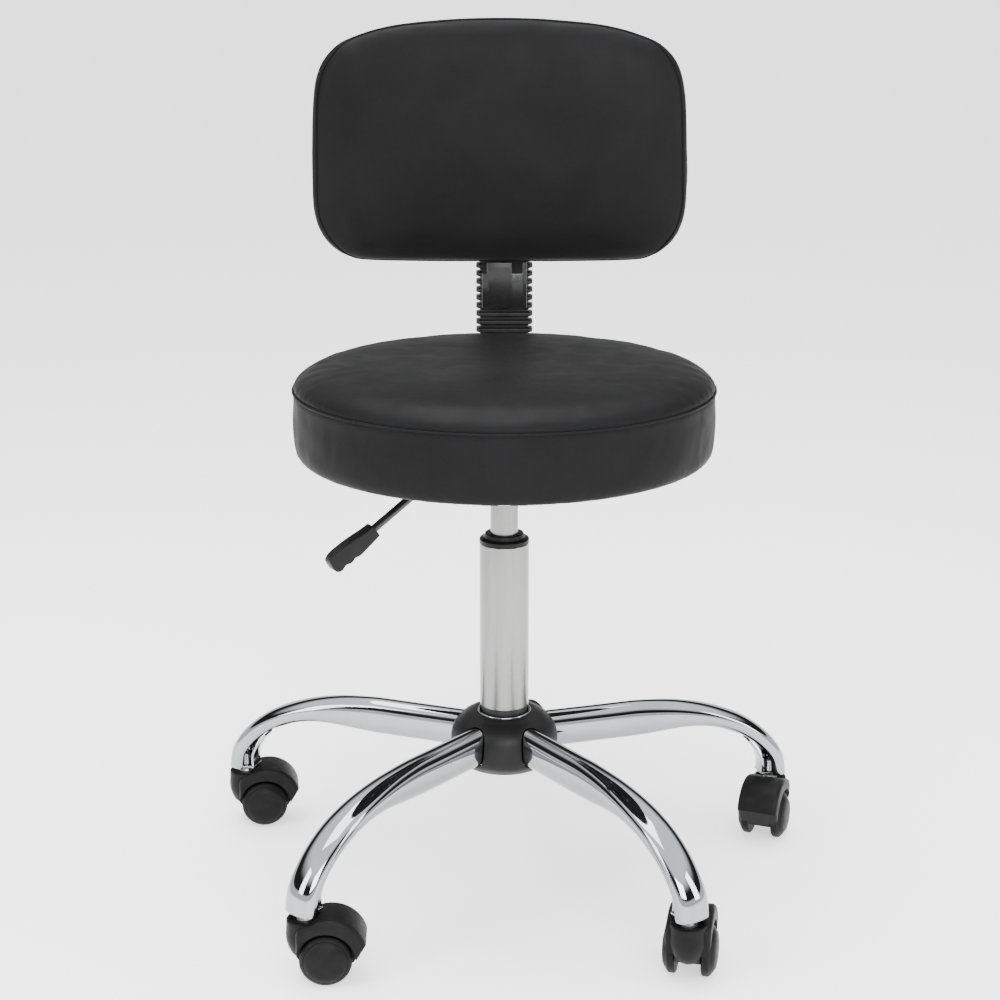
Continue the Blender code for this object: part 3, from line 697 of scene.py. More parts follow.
def arm_skin():
    """The bent tube, open under its outer end, with rounded rims."""
    line = smooth_line(ARM_LINE, ARM_ROWS)

    def kept(row, side):
        turn = (side_angle(side) + side_angle(side + 1)) / 2
        from_below = min(turn, 2 * math.pi - turn)
        opening = max(line[row].x - OPEN_FROM, 0.0) / 0.012
        return from_below > OPEN_HALF_ANGLE * min(math.sqrt(opening), 1.0)

    obj = helper(lofted(arm_rings(), capped=False, keep=kept))
    wall = obj.modifiers.new("Wall", "SOLIDIFY")
    wall.thickness = ARM_WALL
    wall.offset = -1
    return bevelled(evaluated(obj), 0.0004, 2, math.radians(60))


def arm_foot():
    """The bent strap and the sleeve that take a caster's stem, at the arm's outer end."""
    foot_low = NECK_TOP + 0.0056
    foot_high = foot_low + 0.0026
    foot = box((-0.0145, -0.0100, foot_low), (0.0105, 0.0100, foot_high), 0.0008, 3)
    sleeve = cylinder(0.0080, foot_high - 0.001, STEM_TOP + 0.001)
    corners = [(-0.0130, foot_high - 0.002), (-0.0130, 0.0800), (-0.0185, 0.0920), (-0.0290, 0.1065)]
    line = smooth_line(corners, 18)
    rings = []
    for index, point in enumerate(line):
        step = line[min(index + 1, len(line) - 1)] - line[max(index - 1, 0)]
        run = Vector((step.x, 0, step.y)).normalized()
        side = Vector((-run.z, 0, run.x)) * 0.0012
        centre = Vector((point.x, 0, point.y))
        across = Vector((0, 0.0085, 0))
        upper = [centre + side - across, centre + side + across]
        lower = [centre - side + across, centre - side - across]
        rings.append(upper + lower)
    bore = cylinder(STEM_RADIUS + GAP, foot_low - 0.001, STEM_TOP + 0.0005)
    return bevelled(combined(foot, join=(sleeve, lofted(rings)), cut=(bore,)), 0.0003, 2, math.radians(50))


def hub_cover(turns):
    """A hollow bulging cover, open below, with an opening for each arm."""
    shoulder = [(0.0320, HUB_TOP - 0.0002), (0.0385, 0.1676), (0.0450, 0.1634), (0.0509, 0.1571)]
    flank = [(0.0542, 0.1490), (HUB_RADIUS, 0.1390), (0.0520, 0.1250), (0.0430, HUB_BOTTOM)]
    outer = [tuple(point) for point in smooth_line(shoulder + flank, 26)]
    collar = [(RING_RADIUS, HUB_TOP)]
    inner = [
        (0.0400, HUB_BOTTOM + 0.0005),
        (0.0515, 0.1390),
        (0.0490, 0.1495),
        (0.0310, 0.1655),
        (RING_RADIUS - 0.0006, 0.1655),
        (RING_RADIUS - 0.0006, HUB_TOP - 0.0012),
    ]
    openings = []
    for turn in turns:
        section = tube_section(TUBE_NARROW + 0.0010, TUBE_TALL + 0.0010)
        near, far = ([(reach, across, ARM_HEIGHT + up) for across, up in section] for reach in (0.033, 0.062))
        openings.append(moved(lofted([near, far]), Matrix.Rotation(turn, 4, "Z")))
    return bevelled(combined(turned(collar + outer + inner, 120), cut=openings), 0.0006, 2, math.radians(45))


def build_base():
    skin, foot = arm_skin(), arm_foot()
    turns = []
    for number in range(1, 6):
        stem = middle(f"caster_{number}_stem")
        turn = math.atan2(stem.y - COLUMN.y, stem.x - COLUMN.x)
        turns.append(turn)
        spun = Matrix.Rotation(turn, 4, "Z")
        arm = moved(skin.copy(), AROUND_COLUMN @ spun)
        add_piece(f"arm_skin_{number}", arm, CHROME, nodes=(f"arm_{number}",))
        strap = moved(foot.copy(), Matrix.Translation((stem.x, stem.y, 0)) @ spun)
        add_piece(f"arm_foot_{number}", strap, CHROME, nodes=(f"arm_{number}_socket",))
        repaint(ZINC, f"caster_{number}_stem", f"caster_{number}_axle")
    cover = moved(hub_cover(turns), AROUND_COLUMN)
    add_piece("hub_shell", cover, BLACK_PLASTIC, nodes=("hub_cover",))
    ring_line = arc((RING_RADIUS - 0.0006, HUB_TOP + 0.0002), 0.0011, 0, 330, 12)
    ring = moved(turned(ring_line), AROUND_COLUMN)
    add_piece("hub_ring", ring, CHROME, body="base")
    repaint(POWDER_COAT, "hub_sleeve", "retaining_clip")


# ---------------------------------------------------------------- gas lift


def build_gas_lift():
    rounding = 0.0008
    wall = COLUMN_RADIUS - 0.0015
    column = arc((COLUMN_RADIUS - rounding, RECESS_TOP + rounding), rounding, -90, 0, 6)
    column += arc((COLUMN_RADIUS - rounding, COLUMN_TOP - rounding), rounding, 0, 90, 6)
    column += [(wall, COLUMN_TOP), (wall, RECESS_TOP + 0.0015), (wall + 0.0004, RECESS_TOP)]
    skin = moved(turned(column), AROUND_COLUMN)
    piece = add_piece("column_skin", skin, SATIN, nodes=("column_tube",))
    core = [(0.0236, RECESS_TOP + 0.0020), (0.0236, 0.1130), (0.0210, 0.1125), (0.0210, RECESS_TOP + 0.0020)]
    band = moved(turned(core), AROUND_COLUMN)
    add_piece("column_foot", band, POWDER_COAT, body=piece["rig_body"])
    low = COLUMN_TOP + GAP
    crest = [(COLUMN_RADIUS + 0.0002, low), (COLUMN_RADIUS + 0.0002, low + 0.0030)]
    crest += arc((COLUMN_RADIUS - 0.0010, low + 0.0034), 0.0012, 0, 90, 6)
    crest += [(COLUMN_RADIUS - 0.0040, low + 0.0058)]
    crest += arc((COLUMN_RADIUS - 0.0066, low + 0.0086), 0.0014, 0, 90, 6)
    inside = [(CYLINDER_RADIUS + 0.0004, low + 0.0100), (CYLINDER_RADIUS + 0.0004, 0.3100)]
    inside += [(wall - GAP, 0.3100), (wall - GAP, low)]
    bush = moved(turned(crest + inside), AROUND_COLUMN)
    add_piece("bush_ring", bush, BLACK_PLASTIC, nodes=("guide_bush",))
    low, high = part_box("gas_cylinder")
    edge = arc((CYLINDER_RADIUS - 0.0010, high.z - 0.0010), 0.0010, 90, 0, 6)
    bore = [(0.0060, low.z), (0.0060, 0.3000), (0.0044, 0.3020), (0.0044, high.z)]
    rod = moved(turned(edge + [(CYLINDER_RADIUS, low.z)] + bore, 72), AROUND_COLUMN)
    add_piece("cylinder_skin", rod, SATIN, nodes=("gas_cylinder",))
    repaint(ZINC, "piston_rod", "thrust_bearing", "release_button")


# ---------------------------------------------------------------- lever


def build_lever():
    pivot = Vector((LEVER_PIVOT * math.cos(LEVER_ANGLE), LEVER_PIVOT * math.sin(LEVER_ANGLE), LEVER_HEIGHT))
    place = Matrix.Translation(COLUMN + pivot) @ Matrix.Rotation(LEVER_ANGLE, 4, "Z")
    reach = HANDLE_START + 0.020 - LEVER_BEND
    bend = LEVER_BEND - LEVER_PIVOT
    slope = math.tan(LEVER_DROP)
    corners = [(bend - 0.0080, 0.0), (bend, -0.0012 * slope), (bend + 0.0080, -0.0080 * slope)]
    bent = [(point.x, 0, point.y) for point in smooth_line(corners, 9)]
    path = [(-LEVER_PIVOT - 0.006, 0, 0), *bent, (bend + reach, 0, -reach * slope)]
    rod = tube(path, LEVER_RADIUS, rounding=8)
    hole = moved(cylinder(0.0026, -0.010, 0.010), Matrix.Rotation(math.pi / 2, 4, "X"))
    rod = moved(combined(rod, cut=(hole,)), place)
    add_piece("lever_bar", rod, GLOSS_PLASTIC, nodes=("lever_rod",))
    out = HANDLE_START - LEVER_PIVOT
    drop = (HANDLE_START - LEVER_BEND) * slope
    tip = Matrix.Translation((out, 0, -drop)) @ Matrix.Rotation(LEVER_DROP, 4, "Y")
    grip = moved(handle(), place @ tip)
    add_piece("handle_grip", grip, BLACK_PLASTIC, nodes=("lever_handle",))
    repaint(ZINC, "lever_pin")


def handle():
    """A flat paddle with two finger scallops, hollow at its inner end for the rod."""
    top = [(0.0, 0.0056), (0.010, 0.0064), (0.030, 0.0088), (0.048, 0.0092), (0.0540, 0.0072)]
    end = [(HANDLE_LENGTH, 0.0045), (HANDLE_LENGTH, -0.0045), (0.0540, -0.0076)]
    under = [(0.050, -0.0090), (0.044, -0.0074), (0.038, -0.0094), (0.0325, -0.0080), (0.027, -0.0094)]
    outline = smooth_line(top + end + under + [(0.010, -0.0078), (0.0, -0.0066)], 110)
    paddle = extruded([(point.x, point.y) for point in outline], -0.0070, 0.0070)
    paddle = bevelled(moved(paddle, Matrix.Rotation(math.pi / 2, 4, "X")), 0.0030, 5)
    socket = moved(cylinder(LEVER_RADIUS + GAP, -0.005, 0.0240), Matrix.Rotation(math.pi / 2, 4, "Y"))
    return combined(paddle, cut=(socket,))


# ---------------------------------------------------------------- casters


def wheel(radius):
    """A wheel round +Y with its domed face out and a blind bore in its inner face at y = 0."""
    tread = arc((radius - 0.0022, WHEEL_WIDTH - 0.0082), 0.0022, 0, 40, 6)
    tread = [(radius - 0.0012, 0.0), (radius, 0.0012)] + tread
    dome = [(0.0212, WHEEL_WIDTH - 0.0044), (0.0206, WHEEL_WIDTH - 0.0046), (0.0200, WHEEL_WIDTH - 0.0036)]
    dome += [(0.0165, WHEEL_WIDTH - 0.0014), (0.0110, WHEEL_WIDTH - 0.0004), (0.0050, WHEEL_WIDTH)]
    bore = [(AXLE_RADIUS + 0.0004, 0.0100), (AXLE_RADIUS + 0.0004, 0.0)]
    profile = [(0.0, 0.0100)] + bore + tread + dome + [(0.0, WHEEL_WIDTH)]
    return moved(turned(profile, 72), Matrix.Rotation(-math.pi / 2, 4, "X"))


def hood(axle_height, wheel_radius):
    """The hood with its stem on the Z axis and its wheels' axle at x = TRAIL."""
    dome = arc((TRAIL + 0.0045, 0.0315), 0.0340, 14, 118, 30)
    belly = [(-0.0060, 0.0570), (-0.0080, 0.0500), (-0.0080, 0.0260)]
    skirt = [(-0.0050, 0.0215), (TRAIL - 0.0080, 0.0150), (TRAIL + 0.0060, 0.0140), (TRAIL + 0.0255, 0.0195)]
    side = extruded(dome + belly + skirt, -0.0215, 0.0215)
    fender = bevelled(moved(side, Matrix.Rotation(math.pi / 2, 4, "X")), 0.0055, 6, math.radians(50))
    flank = [(NECK_RADIUS, NECK_TOP - 0.0015), (NECK_RADIUS, 0.0560), (NECK_RADIUS + 0.0005, 0.0400)]
    flank += [(NECK_RADIUS - 0.0040, 0.0270), (NECK_RADIUS - 0.0100, 0.0215)]
    rounded = [tuple(point) for point in smooth_line(flank, 16)]
    crown = [(0.0, NECK_TOP), (NECK_RADIUS - 0.0015, NECK_TOP), (NECK_RADIUS - 0.0004, NECK_TOP - 0.0005)]
    neck = turned(crown + rounded + [(0.0, 0.0215)], 64)
    to_axle = Matrix.Translation((TRAIL, 0, axle_height))
    wells = []
    for sign in (-1, 1):
        low, high = sorted((sign * (WHEEL_INNER - GAP), sign * 0.0400))
        well = moved(cylinder(wheel_radius + 0.0035, low, high, 72), Matrix.Rotation(math.pi / 2, 4, "X"))
        wells.append(moved(well, to_axle))
    recess = cylinder(NECK_RADIUS - 0.0035, NECK_TOP - 0.0020, NECK_TOP + 0.010, 64)
    stem_bore = cylinder(STEM_RADIUS + 0.0004, STEM_BOTTOM - GAP, NECK_TOP + 0.001)
    axle_bore = moved(cylinder(AXLE_RADIUS + GAP, -0.02, 0.02), Matrix.Rotation(math.pi / 2, 4, "X"))
    axle_bore = moved(axle_bore, to_axle)
    shape = combined(fender, join=(neck,), cut=(*wells, recess, stem_bore, axle_bore))
    return bevelled(shape, 0.0005, 2, math.radians(50))


def build_casters():
    axle_height = middle("caster_1_axle").z
    radius = axle_height - 0.0001
    hood_mesh, wheel_mesh = hood(axle_height, radius), wheel(radius)
    for number in range(1, 6):
        name = f"caster_{number}"
        stem, axle = middle(f"{name}_stem"), middle(f"{name}_axle")
        heading = math.atan2(axle.y - stem.y, axle.x - stem.x)
        stand = Matrix.Translation((stem.x, stem.y, 0)) @ Matrix.Rotation(heading, 4, "Z")
        cover = moved(hood_mesh.copy(), stand)
        add_piece(f"{name}_shell", cover, CASTER_PLASTIC, nodes=(f"{name}_hood",))
        for side, sign in (("left", 1), ("right", -1)):
            mirror = Matrix.Rotation(0 if sign > 0 else math.pi, 4, "Z")
            hang = Matrix.Translation((TRAIL, sign * WHEEL_INNER, axle_height)) @ mirror
            roller = moved(wheel_mesh.copy(), stand @ hang)
            wheel_node = f"{name}_wheel_{side}"
            add_piece(f"{name}_tyre_{side}", roller, CASTER_PLASTIC, nodes=(wheel_node,))


# ---------------------------------------------------------------- back


def knob(stud_length):
    """A five-lobed knob under z = 0 with its stud pointing up and a cap set into its face."""
    lobes = []
    for step in range(120):
        angle = 2 * math.pi * step / 120
        radius = 0.0165 + 0.0022 * math.cos(5 * angle)
        lobes.append((radius * math.cos(angle), radius * math.sin(angle)))
    head = bevelled(extruded(lobes, -0.0180, 0.0), 0.0026, 4, math.radians(60))
    groove = turned([(0.0092, -0.0170), (0.0092, -0.0190), (0.0084, -0.0190), (0.0084, -0.0170)], 64)
    return combined(head, join=(cylinder(0.0030, -0.004, stud_length),), cut=(groove,))


def ribbed_skin():
    """The bellows: a ribbed sleeve round the bar, open at both ends."""
    pitch = (BELLOWS_TOP - BELLOWS_BOTTOM) / BELLOWS_TEETH
    rings = []
    for tooth in range(BELLOWS_TEETH):
        for share in (0.0, 0.12, 0.24, 0.32, 0.38, 0.44, 0.52, 0.64, 0.78, 0.84, 0.90, 0.96):
            height = BELLOWS_BOTTOM + (tooth + share) * pitch
            swell = smooth_step(share, 0.26, 0.46) * (1 - smooth_step(share, 0.82, 1.0))
            half_width, half_depth = 0.0272 + 0.0043 * swell, 0.0088 + 0.0034 * swell
            outline = rounded_rectangle(half_width, half_depth, 0.0040 + 0.0020 * swell)
            rings.append([(x, y, height) for x, y in outline])
    rings.append([(x, y, BELLOWS_TOP) for x, y in rounded_rectangle(0.0272, 0.0088, 0.0040)])
    channel = box((-0.0156, -0.0036, BELLOWS_BOTTOM - 0.01), (0.0156, 0.0036, BELLOWS_TOP + 0.01))
    return combined(lofted(rings), cut=(channel,))


def front_plate():
    """The smooth plate on the sleeve's front, with a notch beside its tongue."""
    low, shoulder, top = 0.5465, 0.5860, 0.5985
    outline = [(-0.0250, low), (0.0250, low), (0.0250, top), (0.0200, top), (0.0200, shoulder)]
    outline += [(0.0085, shoulder), (0.0085, top), (-0.0195, top), (-0.0195, shoulder), (-0.0250, shoulder)]
    plate = moved(extruded(outline, -0.0016, 0.0016), Matrix.Rotation(math.pi / 2, 4, "X"))
    plate = crowned(bevelled(plate, 0.0009, 3), 0.0250, 0.0022)
    return moved(plate, Matrix.Translation((0, BAR_Y - 0.0144, 0)))


def crowned(mesh, half_width, rise):
    """Bulges a flat plate forwards across its width."""
    work = bmesh.new()
    work.from_mesh(mesh)
    for step in range(-7, 8):
        everything = list(work.verts) + list(work.edges) + list(work.faces)
        place = (half_width * step / 8, 0, 0)
        bmesh.ops.bisect_plane(work, geom=everything, plane_co=place, plane_no=(1, 0, 0))
    for vert in work.verts:
        vert.co.y -= rise * (1 - (vert.co.x / half_width) ** 2) - rise
    return from_bmesh(work)


def housing():
    """The rear housing that slides on the bar, blind at its top."""
    front = BACK_REAR + 0.0069
    rear = BAR_Y + 0.0170
    body = box((-0.0310, front, BELLOWS_TOP + 0.0007), (0.0310, rear, HOUSING_TOP), 0.0060, 6)
    half = BAR_WIDTH / 2 + GAP
    slide = BAR_THICKNESS / 2 + GAP
    pocket = box((-half, BAR_Y - slide, 0.60), (half, BAR_Y + slide, HOUSING_TOP - 0.0150))
    behind = Matrix.Rotation(-math.pi / 2, 4, "X")
    knob_axis = Matrix.Translation((0, BAR_Y, BACK_KNOB_HEIGHT)) @ behind
    knob_hole = moved(cylinder(0.0034, 0.0, 0.0400), knob_axis)
    panel = extruded(rounded_rectangle(0.0230, 0.0480, 0.0060), 0.0, 0.0200)
    panel = moved(panel, Matrix.Translation((0, rear - 0.0008, 0.7500)) @ behind)
    return bevelled(combined(body, cut=(pocket, knob_hole, panel)), 0.0005, 2, math.radians(50))


def screw_head(radius):
    """A domed screw head over z = 0 with a cross recess."""
    height = 0.0018
    dome = [(0.0, height)]
    for share in (0.3, 0.55, 0.75, 0.9, 1.0):
        dome.append((radius * share, height * (1 - share**2.4)))
    head = turned(dome + [(radius * 0.96, -0.0006), (0.0, -0.0006)], 28)
    across = box((-0.0017, -0.0004, 0.0008), (0.0017, 0.0004, 0.0040))
    along = box((-0.0004, -0.0017, 0.0008), (0.0004, 0.0017, 0.0040))
    return combined(head, cut=[across, along])


def build_back():
    sleeve = moved(ribbed_skin(), AROUND_COLUMN @ Matrix.Translation((0, BAR_Y, 0)))
    bellows = add_piece("bellows_skin", sleeve, RUBBER, body="between", nodes=("bellows",))
    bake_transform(bellows)
    plate = moved(front_plate(), AROUND_COLUMN)
    add_piece("sleeve_plate", plate, GLOSS_PLASTIC, nodes=("bar_sleeve",))
    backing = box((-0.0238, BAR_Y - 0.0127, 0.5480), (0.0246, BAR_Y - 0.0121, 0.5995), 0.0002, 1)
    add_piece("plate_backing", moved(backing, AROUND_COLUMN), BLACK_PLASTIC, body="back_arm")
    rear = moved(housing(), AROUND_COLUMN)
    add_piece("rear_housing", rear, BLACK_PLASTIC, nodes=("back_bracket",))
    knob_place = Matrix.Translation((0, BAR_Y + 0.0210, BACK_KNOB_HEIGHT))
    height_knob = moved(knob(0.0174), AROUND_COLUMN @ knob_place @ Matrix.Rotation(math.pi / 2, 4, "X"))
    add_piece("height_knob", height_knob, BLACK_PLASTIC, nodes=("back_knob",))
    below = middle("depth_knob")
    under = Matrix.Translation((below.x, below.y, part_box("depth_knob")[0].z + 0.0180))
    add_piece("reach_knob", moved(knob(0.0096), under), BLACK_PLASTIC, nodes=("depth_knob",))
    board_low, board_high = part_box("back_board")
    centre = (board_low + board_high) / 2
    heads = []
    for x in (-0.120, 0.120):
        for z in (-0.065, 0.065):
            stand = Matrix.Translation((centre.x + x, board_high.y, centre.z + z))
            heads.append(moved(screw_head(0.0048), stand @ Matrix.Rotation(-math.pi / 2, 4, "X")))
    add_piece("board_screws", joined(heads), ZINC, body="backrest")
    repaint(POWDER_COAT, "back_bar", "bar_guide")
    repaint(BLACK_PLASTIC, "back_board")


# ---------------------------------------------------------------- upholstery


def foam_filled(mesh, pinned):
    """Blows the closed cover up a little with a cloth simulation. pinned(point) says what stays put."""
    obj = helper(mesh)
    remesh = obj.modifiers.new("Cells", "REMESH")
    remesh.mode = "VOXEL"
    remesh.voxel_size = PAD_CELL
    cover = evaluated(obj)
    start = [vertex.co.copy() for vertex in cover.vertices]
    cover = pressed(cover, pinned)
    for vertex, before in zip(cover.vertices, start):
        move = vertex.co - before
        if move.length > PAD_SWELL:
            vertex.co = before + move.normalized() * PAD_SWELL
    obj = helper(cover)
    smooth = obj.modifiers.new("Smooth", "SMOOTH")
    smooth.factor = 0.5
    smooth.iterations = 4
    finer = obj.modifiers.new("Finer", "SUBSURF")
    finer.levels = 1
    finer.render_levels = 1
    return evaluated(obj)


def fitted(mesh, node):
    """Stretches the pad a little so that it fills the box of its CAD node."""
    low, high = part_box(node)
    low, high = low - COLUMN, high - COLUMN
    own_low = Vector([min(v.co[axis] for v in mesh.vertices) for axis in range(3)])
    own_high = Vector([max(v.co[axis] for v in mesh.vertices) for axis in range(3)])
    for vertex in mesh.vertices:
        for axis in range(3):
            share = (vertex.co[axis] - own_low[axis]) / (own_high[axis] - own_low[axis])
            vertex.co[axis] = low[axis] + share * (high[axis] - low[axis])
    return mesh


def pressed(cover, pinned):
    obj = helper(cover)
    group = obj.vertex_groups.new(name="held")
    group.add([v.index for v in cover.vertices if pinned(v.co)], 1.0, "REPLACE")
    cloth = obj.modifiers.new("Cloth", "CLOTH")
    cloth.settings.vertex_group_mass = "held"
    cloth.settings.use_pressure = True
    cloth.settings.uniform_pressure_force = CLOTH_PRESSURE
    cloth.settings.effector_weights.gravity = 0.0
    cloth.point_cache.frame_start = 1
    cloth.point_cache.frame_end = CLOTH_FRAMES
    scene = bpy.context.scene
    for number in range(1, CLOTH_FRAMES + 1):
        scene.frame_set(number)
    mesh = evaluated(obj)
    scene.frame_set(1)
    return mesh


def seam_path(tree, points):
    """Where each point of a planned seam meets the cover."""
    return [tree.find_nearest(point)[0] for point in points]


def pull_in(mesh, path, depth):
    """Draws the cover in along the seam."""
    cells_near = {}
    size = SEAM_REACH
    for point in path:
        key = tuple(math.floor(value / size) for value in point)
        cells_near.setdefault(key, []).append(point)
    for vertex in mesh.vertices:
        base = [math.floor(value / size) for value in vertex.co]
        nearest = size
        for x in (-1, 0, 1):
            for y in (-1, 0, 1):
                for z in (-1, 0, 1):
                    for point in cells_near.get((base[0] + x, base[1] + y, base[2] + z), ()):
                        nearest = min(nearest, (point - vertex.co).length)
        if nearest < size:
            vertex.co -= vertex.normal * depth * (1 - (nearest / size) ** 2) ** 2


def tree_of(mesh):
    work = bmesh.new()
    work.from_mesh(mesh)
    tree = BVHTree.FromBMesh(work)
    work.free()
    return tree


def sewn(mesh, plan, depth, radius):
    """The cover with a seam drawn in along the planned line, and the welt that lies in it."""
    path = seam_path(tree_of(mesh), plan)
    pull_in(mesh, path, depth)
    return tube(path, radius, closed=True, rounding=5)


def seat_form():
    """The stuffed seat a little under its full size, before its cover is pressed out."""
    radius = SEAT_RADIUS - PAD_SWELL
    crown = CROWN_TOP - PAD_SWELL
    profile = [
        (0.0, crown),
        (0.1200, crown - 0.0006),
        (radius - 0.0260, crown - 0.0050),
        (radius - 0.0100, crown - 0.0110),
        (radius - 0.0020, SEAM_HEIGHT + 0.0060),
        (radius, SEAM_HEIGHT),
        (radius - 0.0018, SEAM_HEIGHT - 0.0060),
        (radius - 0.0018, SEAT_BOTTOM + 0.0110),
        (radius - 0.0050, SEAT_BOTTOM + 0.0040),
        (radius - 0.0100, SEAT_BOTTOM + 0.0006),
    ]
    smooth = [tuple(point) for point in smooth_line(profile, 60)]
    return turned(smooth + [(0.0, SEAT_BOTTOM + 0.0006)], 120)


def build_seat():
    held = BOARD_RADIUS - 0.004
    cover = foam_filled(seat_form(), lambda p: p.z < SEAT_BOTTOM + 0.004 and math.hypot(p.x, p.y) < held)
    cover = fitted(cover, "seat_cushion")
    plan = [
        Vector((SEAT_RADIUS * math.cos(turn), SEAT_RADIUS * math.sin(turn), SEAM_HEIGHT))
        for turn in [2 * math.pi * step / 260 for step in range(260)]
    ]
    welt = sewn(cover, plan, SEAM_DEPTH, WELT_RADIUS)
    wires = staples(tree_of(cover))
    pocket = cylinder(BOARD_RADIUS + GAP, SEAT_BOTTOM - 0.02, BOARD_TOP + GAP, 120)
    cover = combined(cover, cut=(pocket,))
    cover = moved(cover, AROUND_COLUMN)
    pad = add_piece("seat_pad", cover, VINYL, nodes=("seat_cushion",), smooth_below=60)
    add_piece("seat_welt", moved(welt, AROUND_COLUMN), VINYL, body="seat")
    add_piece("seat_staples", moved(wires, AROUND_COLUMN), ZINC, body="seat")
    lining = cylinder(BOARD_RADIUS - 0.0005, PLATE_TOP + 0.00005, PLATE_TOP + 0.00025, 120)
    add_piece("dust_cover", moved(lining, AROUND_COLUMN), LINING, body="seat")
    heads = []
    for x in (-0.076, 0.076):
        for y in (-0.068, 0.068):
            stand = Matrix.Translation((x, y, PLATE_TOP - PLATE_THICKNESS)) @ Matrix.Rotation(math.pi, 4, "X")
            heads.append(moved(screw_head(0.0055), stand))
    add_piece("plate_screws", moved(joined(heads), AROUND_COLUMN), ZINC, body="seat")
    repaint(WOOD, "seat_board")
    repaint(POWDER_COAT, "seat_plate")


def staples(tree):
    """The staples that hold the cover's folded edge, in a ring under the seat."""
    wires = []
    count = 48
    for step in range(count):
        turn = 2 * math.pi * step / count
        radius = BOARD_RADIUS + 0.0045
        below = Vector((radius * math.cos(turn), radius * math.sin(turn), SEAT_BOTTOM - 0.05))
        face = tree.ray_cast(below, Vector((0, 0, 1)))[0]
        wire = box((-0.0004, -0.0055, -0.0003), (0.0004, 0.0055, 0.0012), 0.0002, 1)
        wires.append(moved(wire, Matrix.Translation(face) @ Matrix.Rotation(turn, 4, "Z")))
    return joined(wires)


def back_outline(inset=0.0):
    """The pad's outline as (x, z): a level foot, round corners and a gently crowned top."""
    lower = [(0.0800, 0.0), (0.1460, 0.0020), (0.1670, 0.0068), (0.1856, 0.0200), (0.1973, 0.0380)]
    lower += [(0.2024, 0.0600), (BACK_HALF_WIDTH, 0.0920)]
    upper = [(0.2010, 0.0980), (0.1978, 0.0700), (0.1908, 0.0485), (0.1795, 0.0340), (0.1640, 0.0230)]
    upper += [(0.1190, 0.0088), (0.0560, 0.0018)]
    right = [(x, BACK_BOTTOM + rise) for x, rise in lower] + [(x, BACK_TOP - drop) for x, drop in upper]
    left = [(-x, z) for x, z in reversed(right)]
    smooth = closed_line([(0.0, BACK_BOTTOM)] + right + [(0.0, BACK_TOP)] + left, 160)
    centre_z = (BACK_TOP + BACK_BOTTOM) / 2
    share_x = 1 - inset / BACK_HALF_WIDTH
    share_z = 1 - inset / (centre_z - BACK_BOTTOM)
    return [(x * share_x, centre_z + (z - centre_z) * share_z) for x, z in smooth]


def back_form():
    """The stuffed back a little under its full size, with a bulging front and a flat rear."""
    swell = PAD_SWELL
    layers = [(0.010, BACK_REAR - 0.0004), (0.0040, BACK_REAR - 0.004), (0.0014, BACK_REAR - 0.009)]
    layers += [(0.0, BACK_REAR - 0.016), (0.0, BACK_FRONT + 0.024), (0.0012, BACK_FRONT + 0.0170)]
    layers += [(0.004, BACK_FRONT + 0.0115), (0.014, BACK_FRONT + 0.0058), (0.028, BACK_FRONT + 0.0030)]
    layers += [(0.045, BACK_FRONT + 0.0014), (0.065, BACK_FRONT + 0.0004), (0.085, BACK_FRONT)]
    rings = []
    for inset, y in layers:
        depth = y + swell * (1 if y < BACK_REAR - 0.012 else 0)
        rings.append([(x + BACK_OFFSET, depth, z) for x, z in back_outline(inset + swell)])
    return lofted(rings)


def build_back_pad():
    cover = foam_filled(back_form(), lambda p: p.y > BACK_REAR - 0.003)
    cover = fitted(cover, "back_cushion")
    ring = []
    for x, z in back_outline(0.002):
        forward = 0.0115 * smooth_step(abs(x), 0.150, 0.194)
        ring.append(Vector((x * (1 - 0.25 * forward) + BACK_OFFSET, BACK_FRONT + 0.0220 - forward, z)))
    welt = sewn(cover, closed_line(ring, 320), BACK_SEAM_DEPTH, BACK_WELT_RADIUS)
    cover = moved(cover, AROUND_COLUMN)
    pad = add_piece("back_pad", cover, VINYL, nodes=("back_cushion",), smooth_below=60)
    add_piece("back_welt", moved(welt, AROUND_COLUMN), VINYL, body="backrest")


def closed_line(points, count):
    """Evenly spaced points along a closed line."""
    lead = [tuple(point) for point in points]
    return smooth_line(lead + [lead[0]], count + 1)[:-1]


# ---------------------------------------------------------------- studio


def area_light(name, place, aim, width, height, power):
    light = bpy.data.lights.new(name, "AREA")
    light.shape = "RECTANGLE"
    light.size = width
    light.size_y = height
    light.energy = power
    obj = bpy.data.objects.new(name, light)
    bpy.context.scene.collection.objects.link(obj)
    obj.location = place
    obj.rotation_euler = (Vector(aim) - Vector(place)).to_track_quat("-Z", "Y").to_euler()


def belt(tree, height, low, high, start, end):
    """The brightness going smoothly from start to end between two heights of the sky."""
    step = tree.nodes.new("ShaderNodeMapRange")
    step.interpolation_type = "SMOOTHSTEP"
    step.inputs["From Min"].default_value = low
    step.inputs["From Max"].default_value = high
    step.inputs["To Min"].default_value = start
    step.inputs["To Max"].default_value = end
    tree.links.new(height, step.inputs["Value"])
    return step.outputs["Result"]


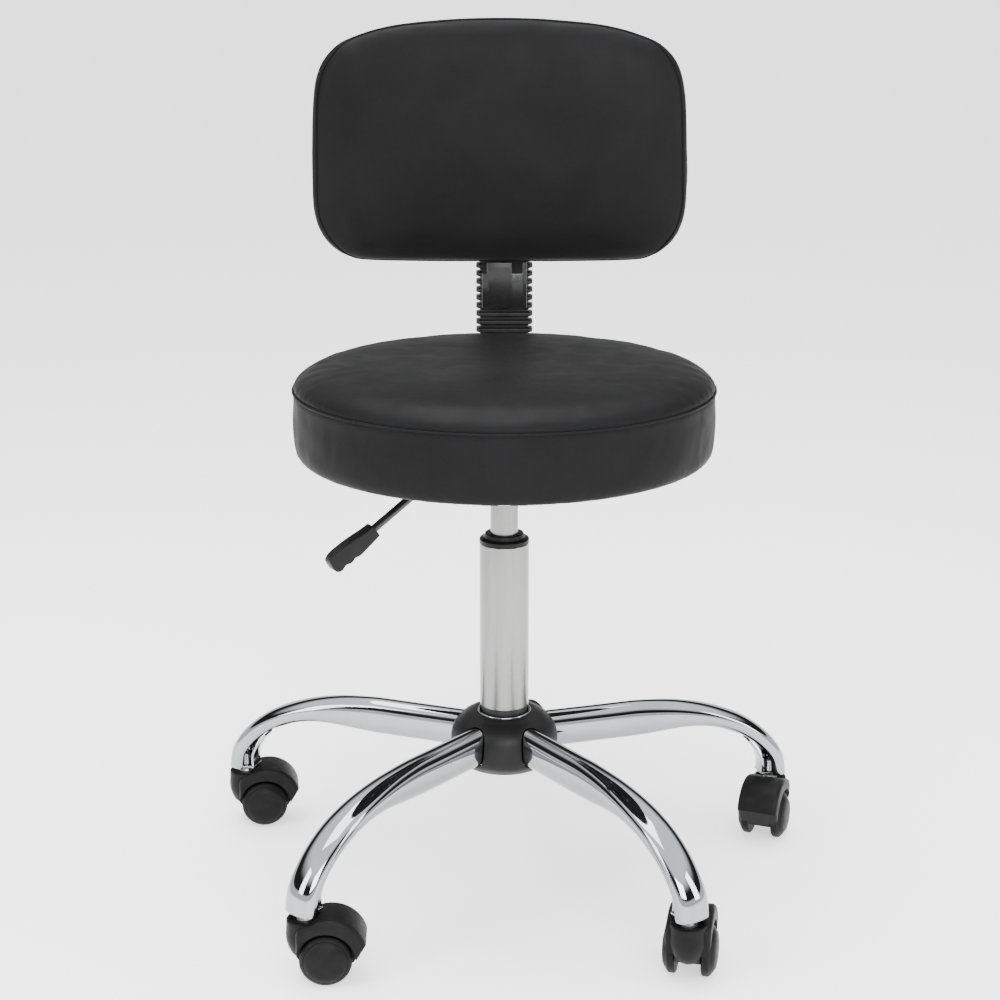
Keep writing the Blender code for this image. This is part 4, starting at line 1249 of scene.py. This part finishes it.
def build_world():
    """A pale horizon, a dark belt for the chrome to show, and a bright ceiling."""
    world = bpy.data.worlds.new("studio")
    bpy.context.scene.world = world
    world.use_nodes = True
    tree = world.node_tree
    place = tree.nodes.new("ShaderNodeTexCoord")
    split = tree.nodes.new("ShaderNodeSeparateXYZ")
    tree.links.new(place.outputs["Generated"], split.inputs["Vector"])
    height = split.outputs["Z"]
    both = tree.nodes.new("ShaderNodeMath")
    tree.links.new(belt(tree, height, 0.20, 0.25, 1.60, 0.0), both.inputs[0])
    tree.links.new(belt(tree, height, 0.46, 0.74, 0.05, 2.60), both.inputs[1])
    background = tree.nodes["Background"]
    background.inputs["Color"].default_value = (1.0, 1.0, 1.0, 1.0)
    tree.links.new(both.outputs["Value"], background.inputs["Strength"])


def build_studio():
    work = bmesh.new()
    bmesh.ops.create_circle(work, cap_ends=True, segments=96, radius=FLOOR_RADIUS)
    floor_mesh = from_bmesh(work)
    floor_mesh.materials.append(FLOOR)
    floor = bpy.data.objects.new("studio_floor", floor_mesh)
    bpy.context.scene.collection.objects.link(floor)
    floor.location = (0, 0, -0.0006)
    build_world()
    area_light("top_softbox", (-0.3, 0.1, 2.6), (0, 0, 0.4), 2.0, 1.8, 95)
    area_light("front_softbox", (0.5, -3.4, 1.9), (0, 0, 0.5), 2.4, 1.5, 170)
    area_light("left_softbox", (-2.1, -1.3, 1.3), (0, 0, 0.5), 0.8, 1.5, 40)
    area_light("right_softbox", (2.2, -0.9, 1.1), (0, 0, 0.4), 0.5, 1.5, 26)
    camera_data = bpy.data.cameras.new("camera")
    camera_data.lens = CAMERA_LENS
    camera_data.shift_x, camera_data.shift_y = CAMERA_SHIFT
    camera = bpy.data.objects.new("camera", camera_data)
    bpy.context.scene.collection.objects.link(camera)
    camera.location = (COLUMN.x, COLUMN.y - CAMERA_DISTANCE, CAMERA_HEIGHT)
    camera.rotation_euler = (CAMERA_PITCH, 0, 0)
    bpy.context.scene.camera = camera


def main():
    build_base()
    build_gas_lift()
    build_lever()
    build_casters()
    build_back()
    build_seat()
    build_back_pad()
    build_studio()


main()
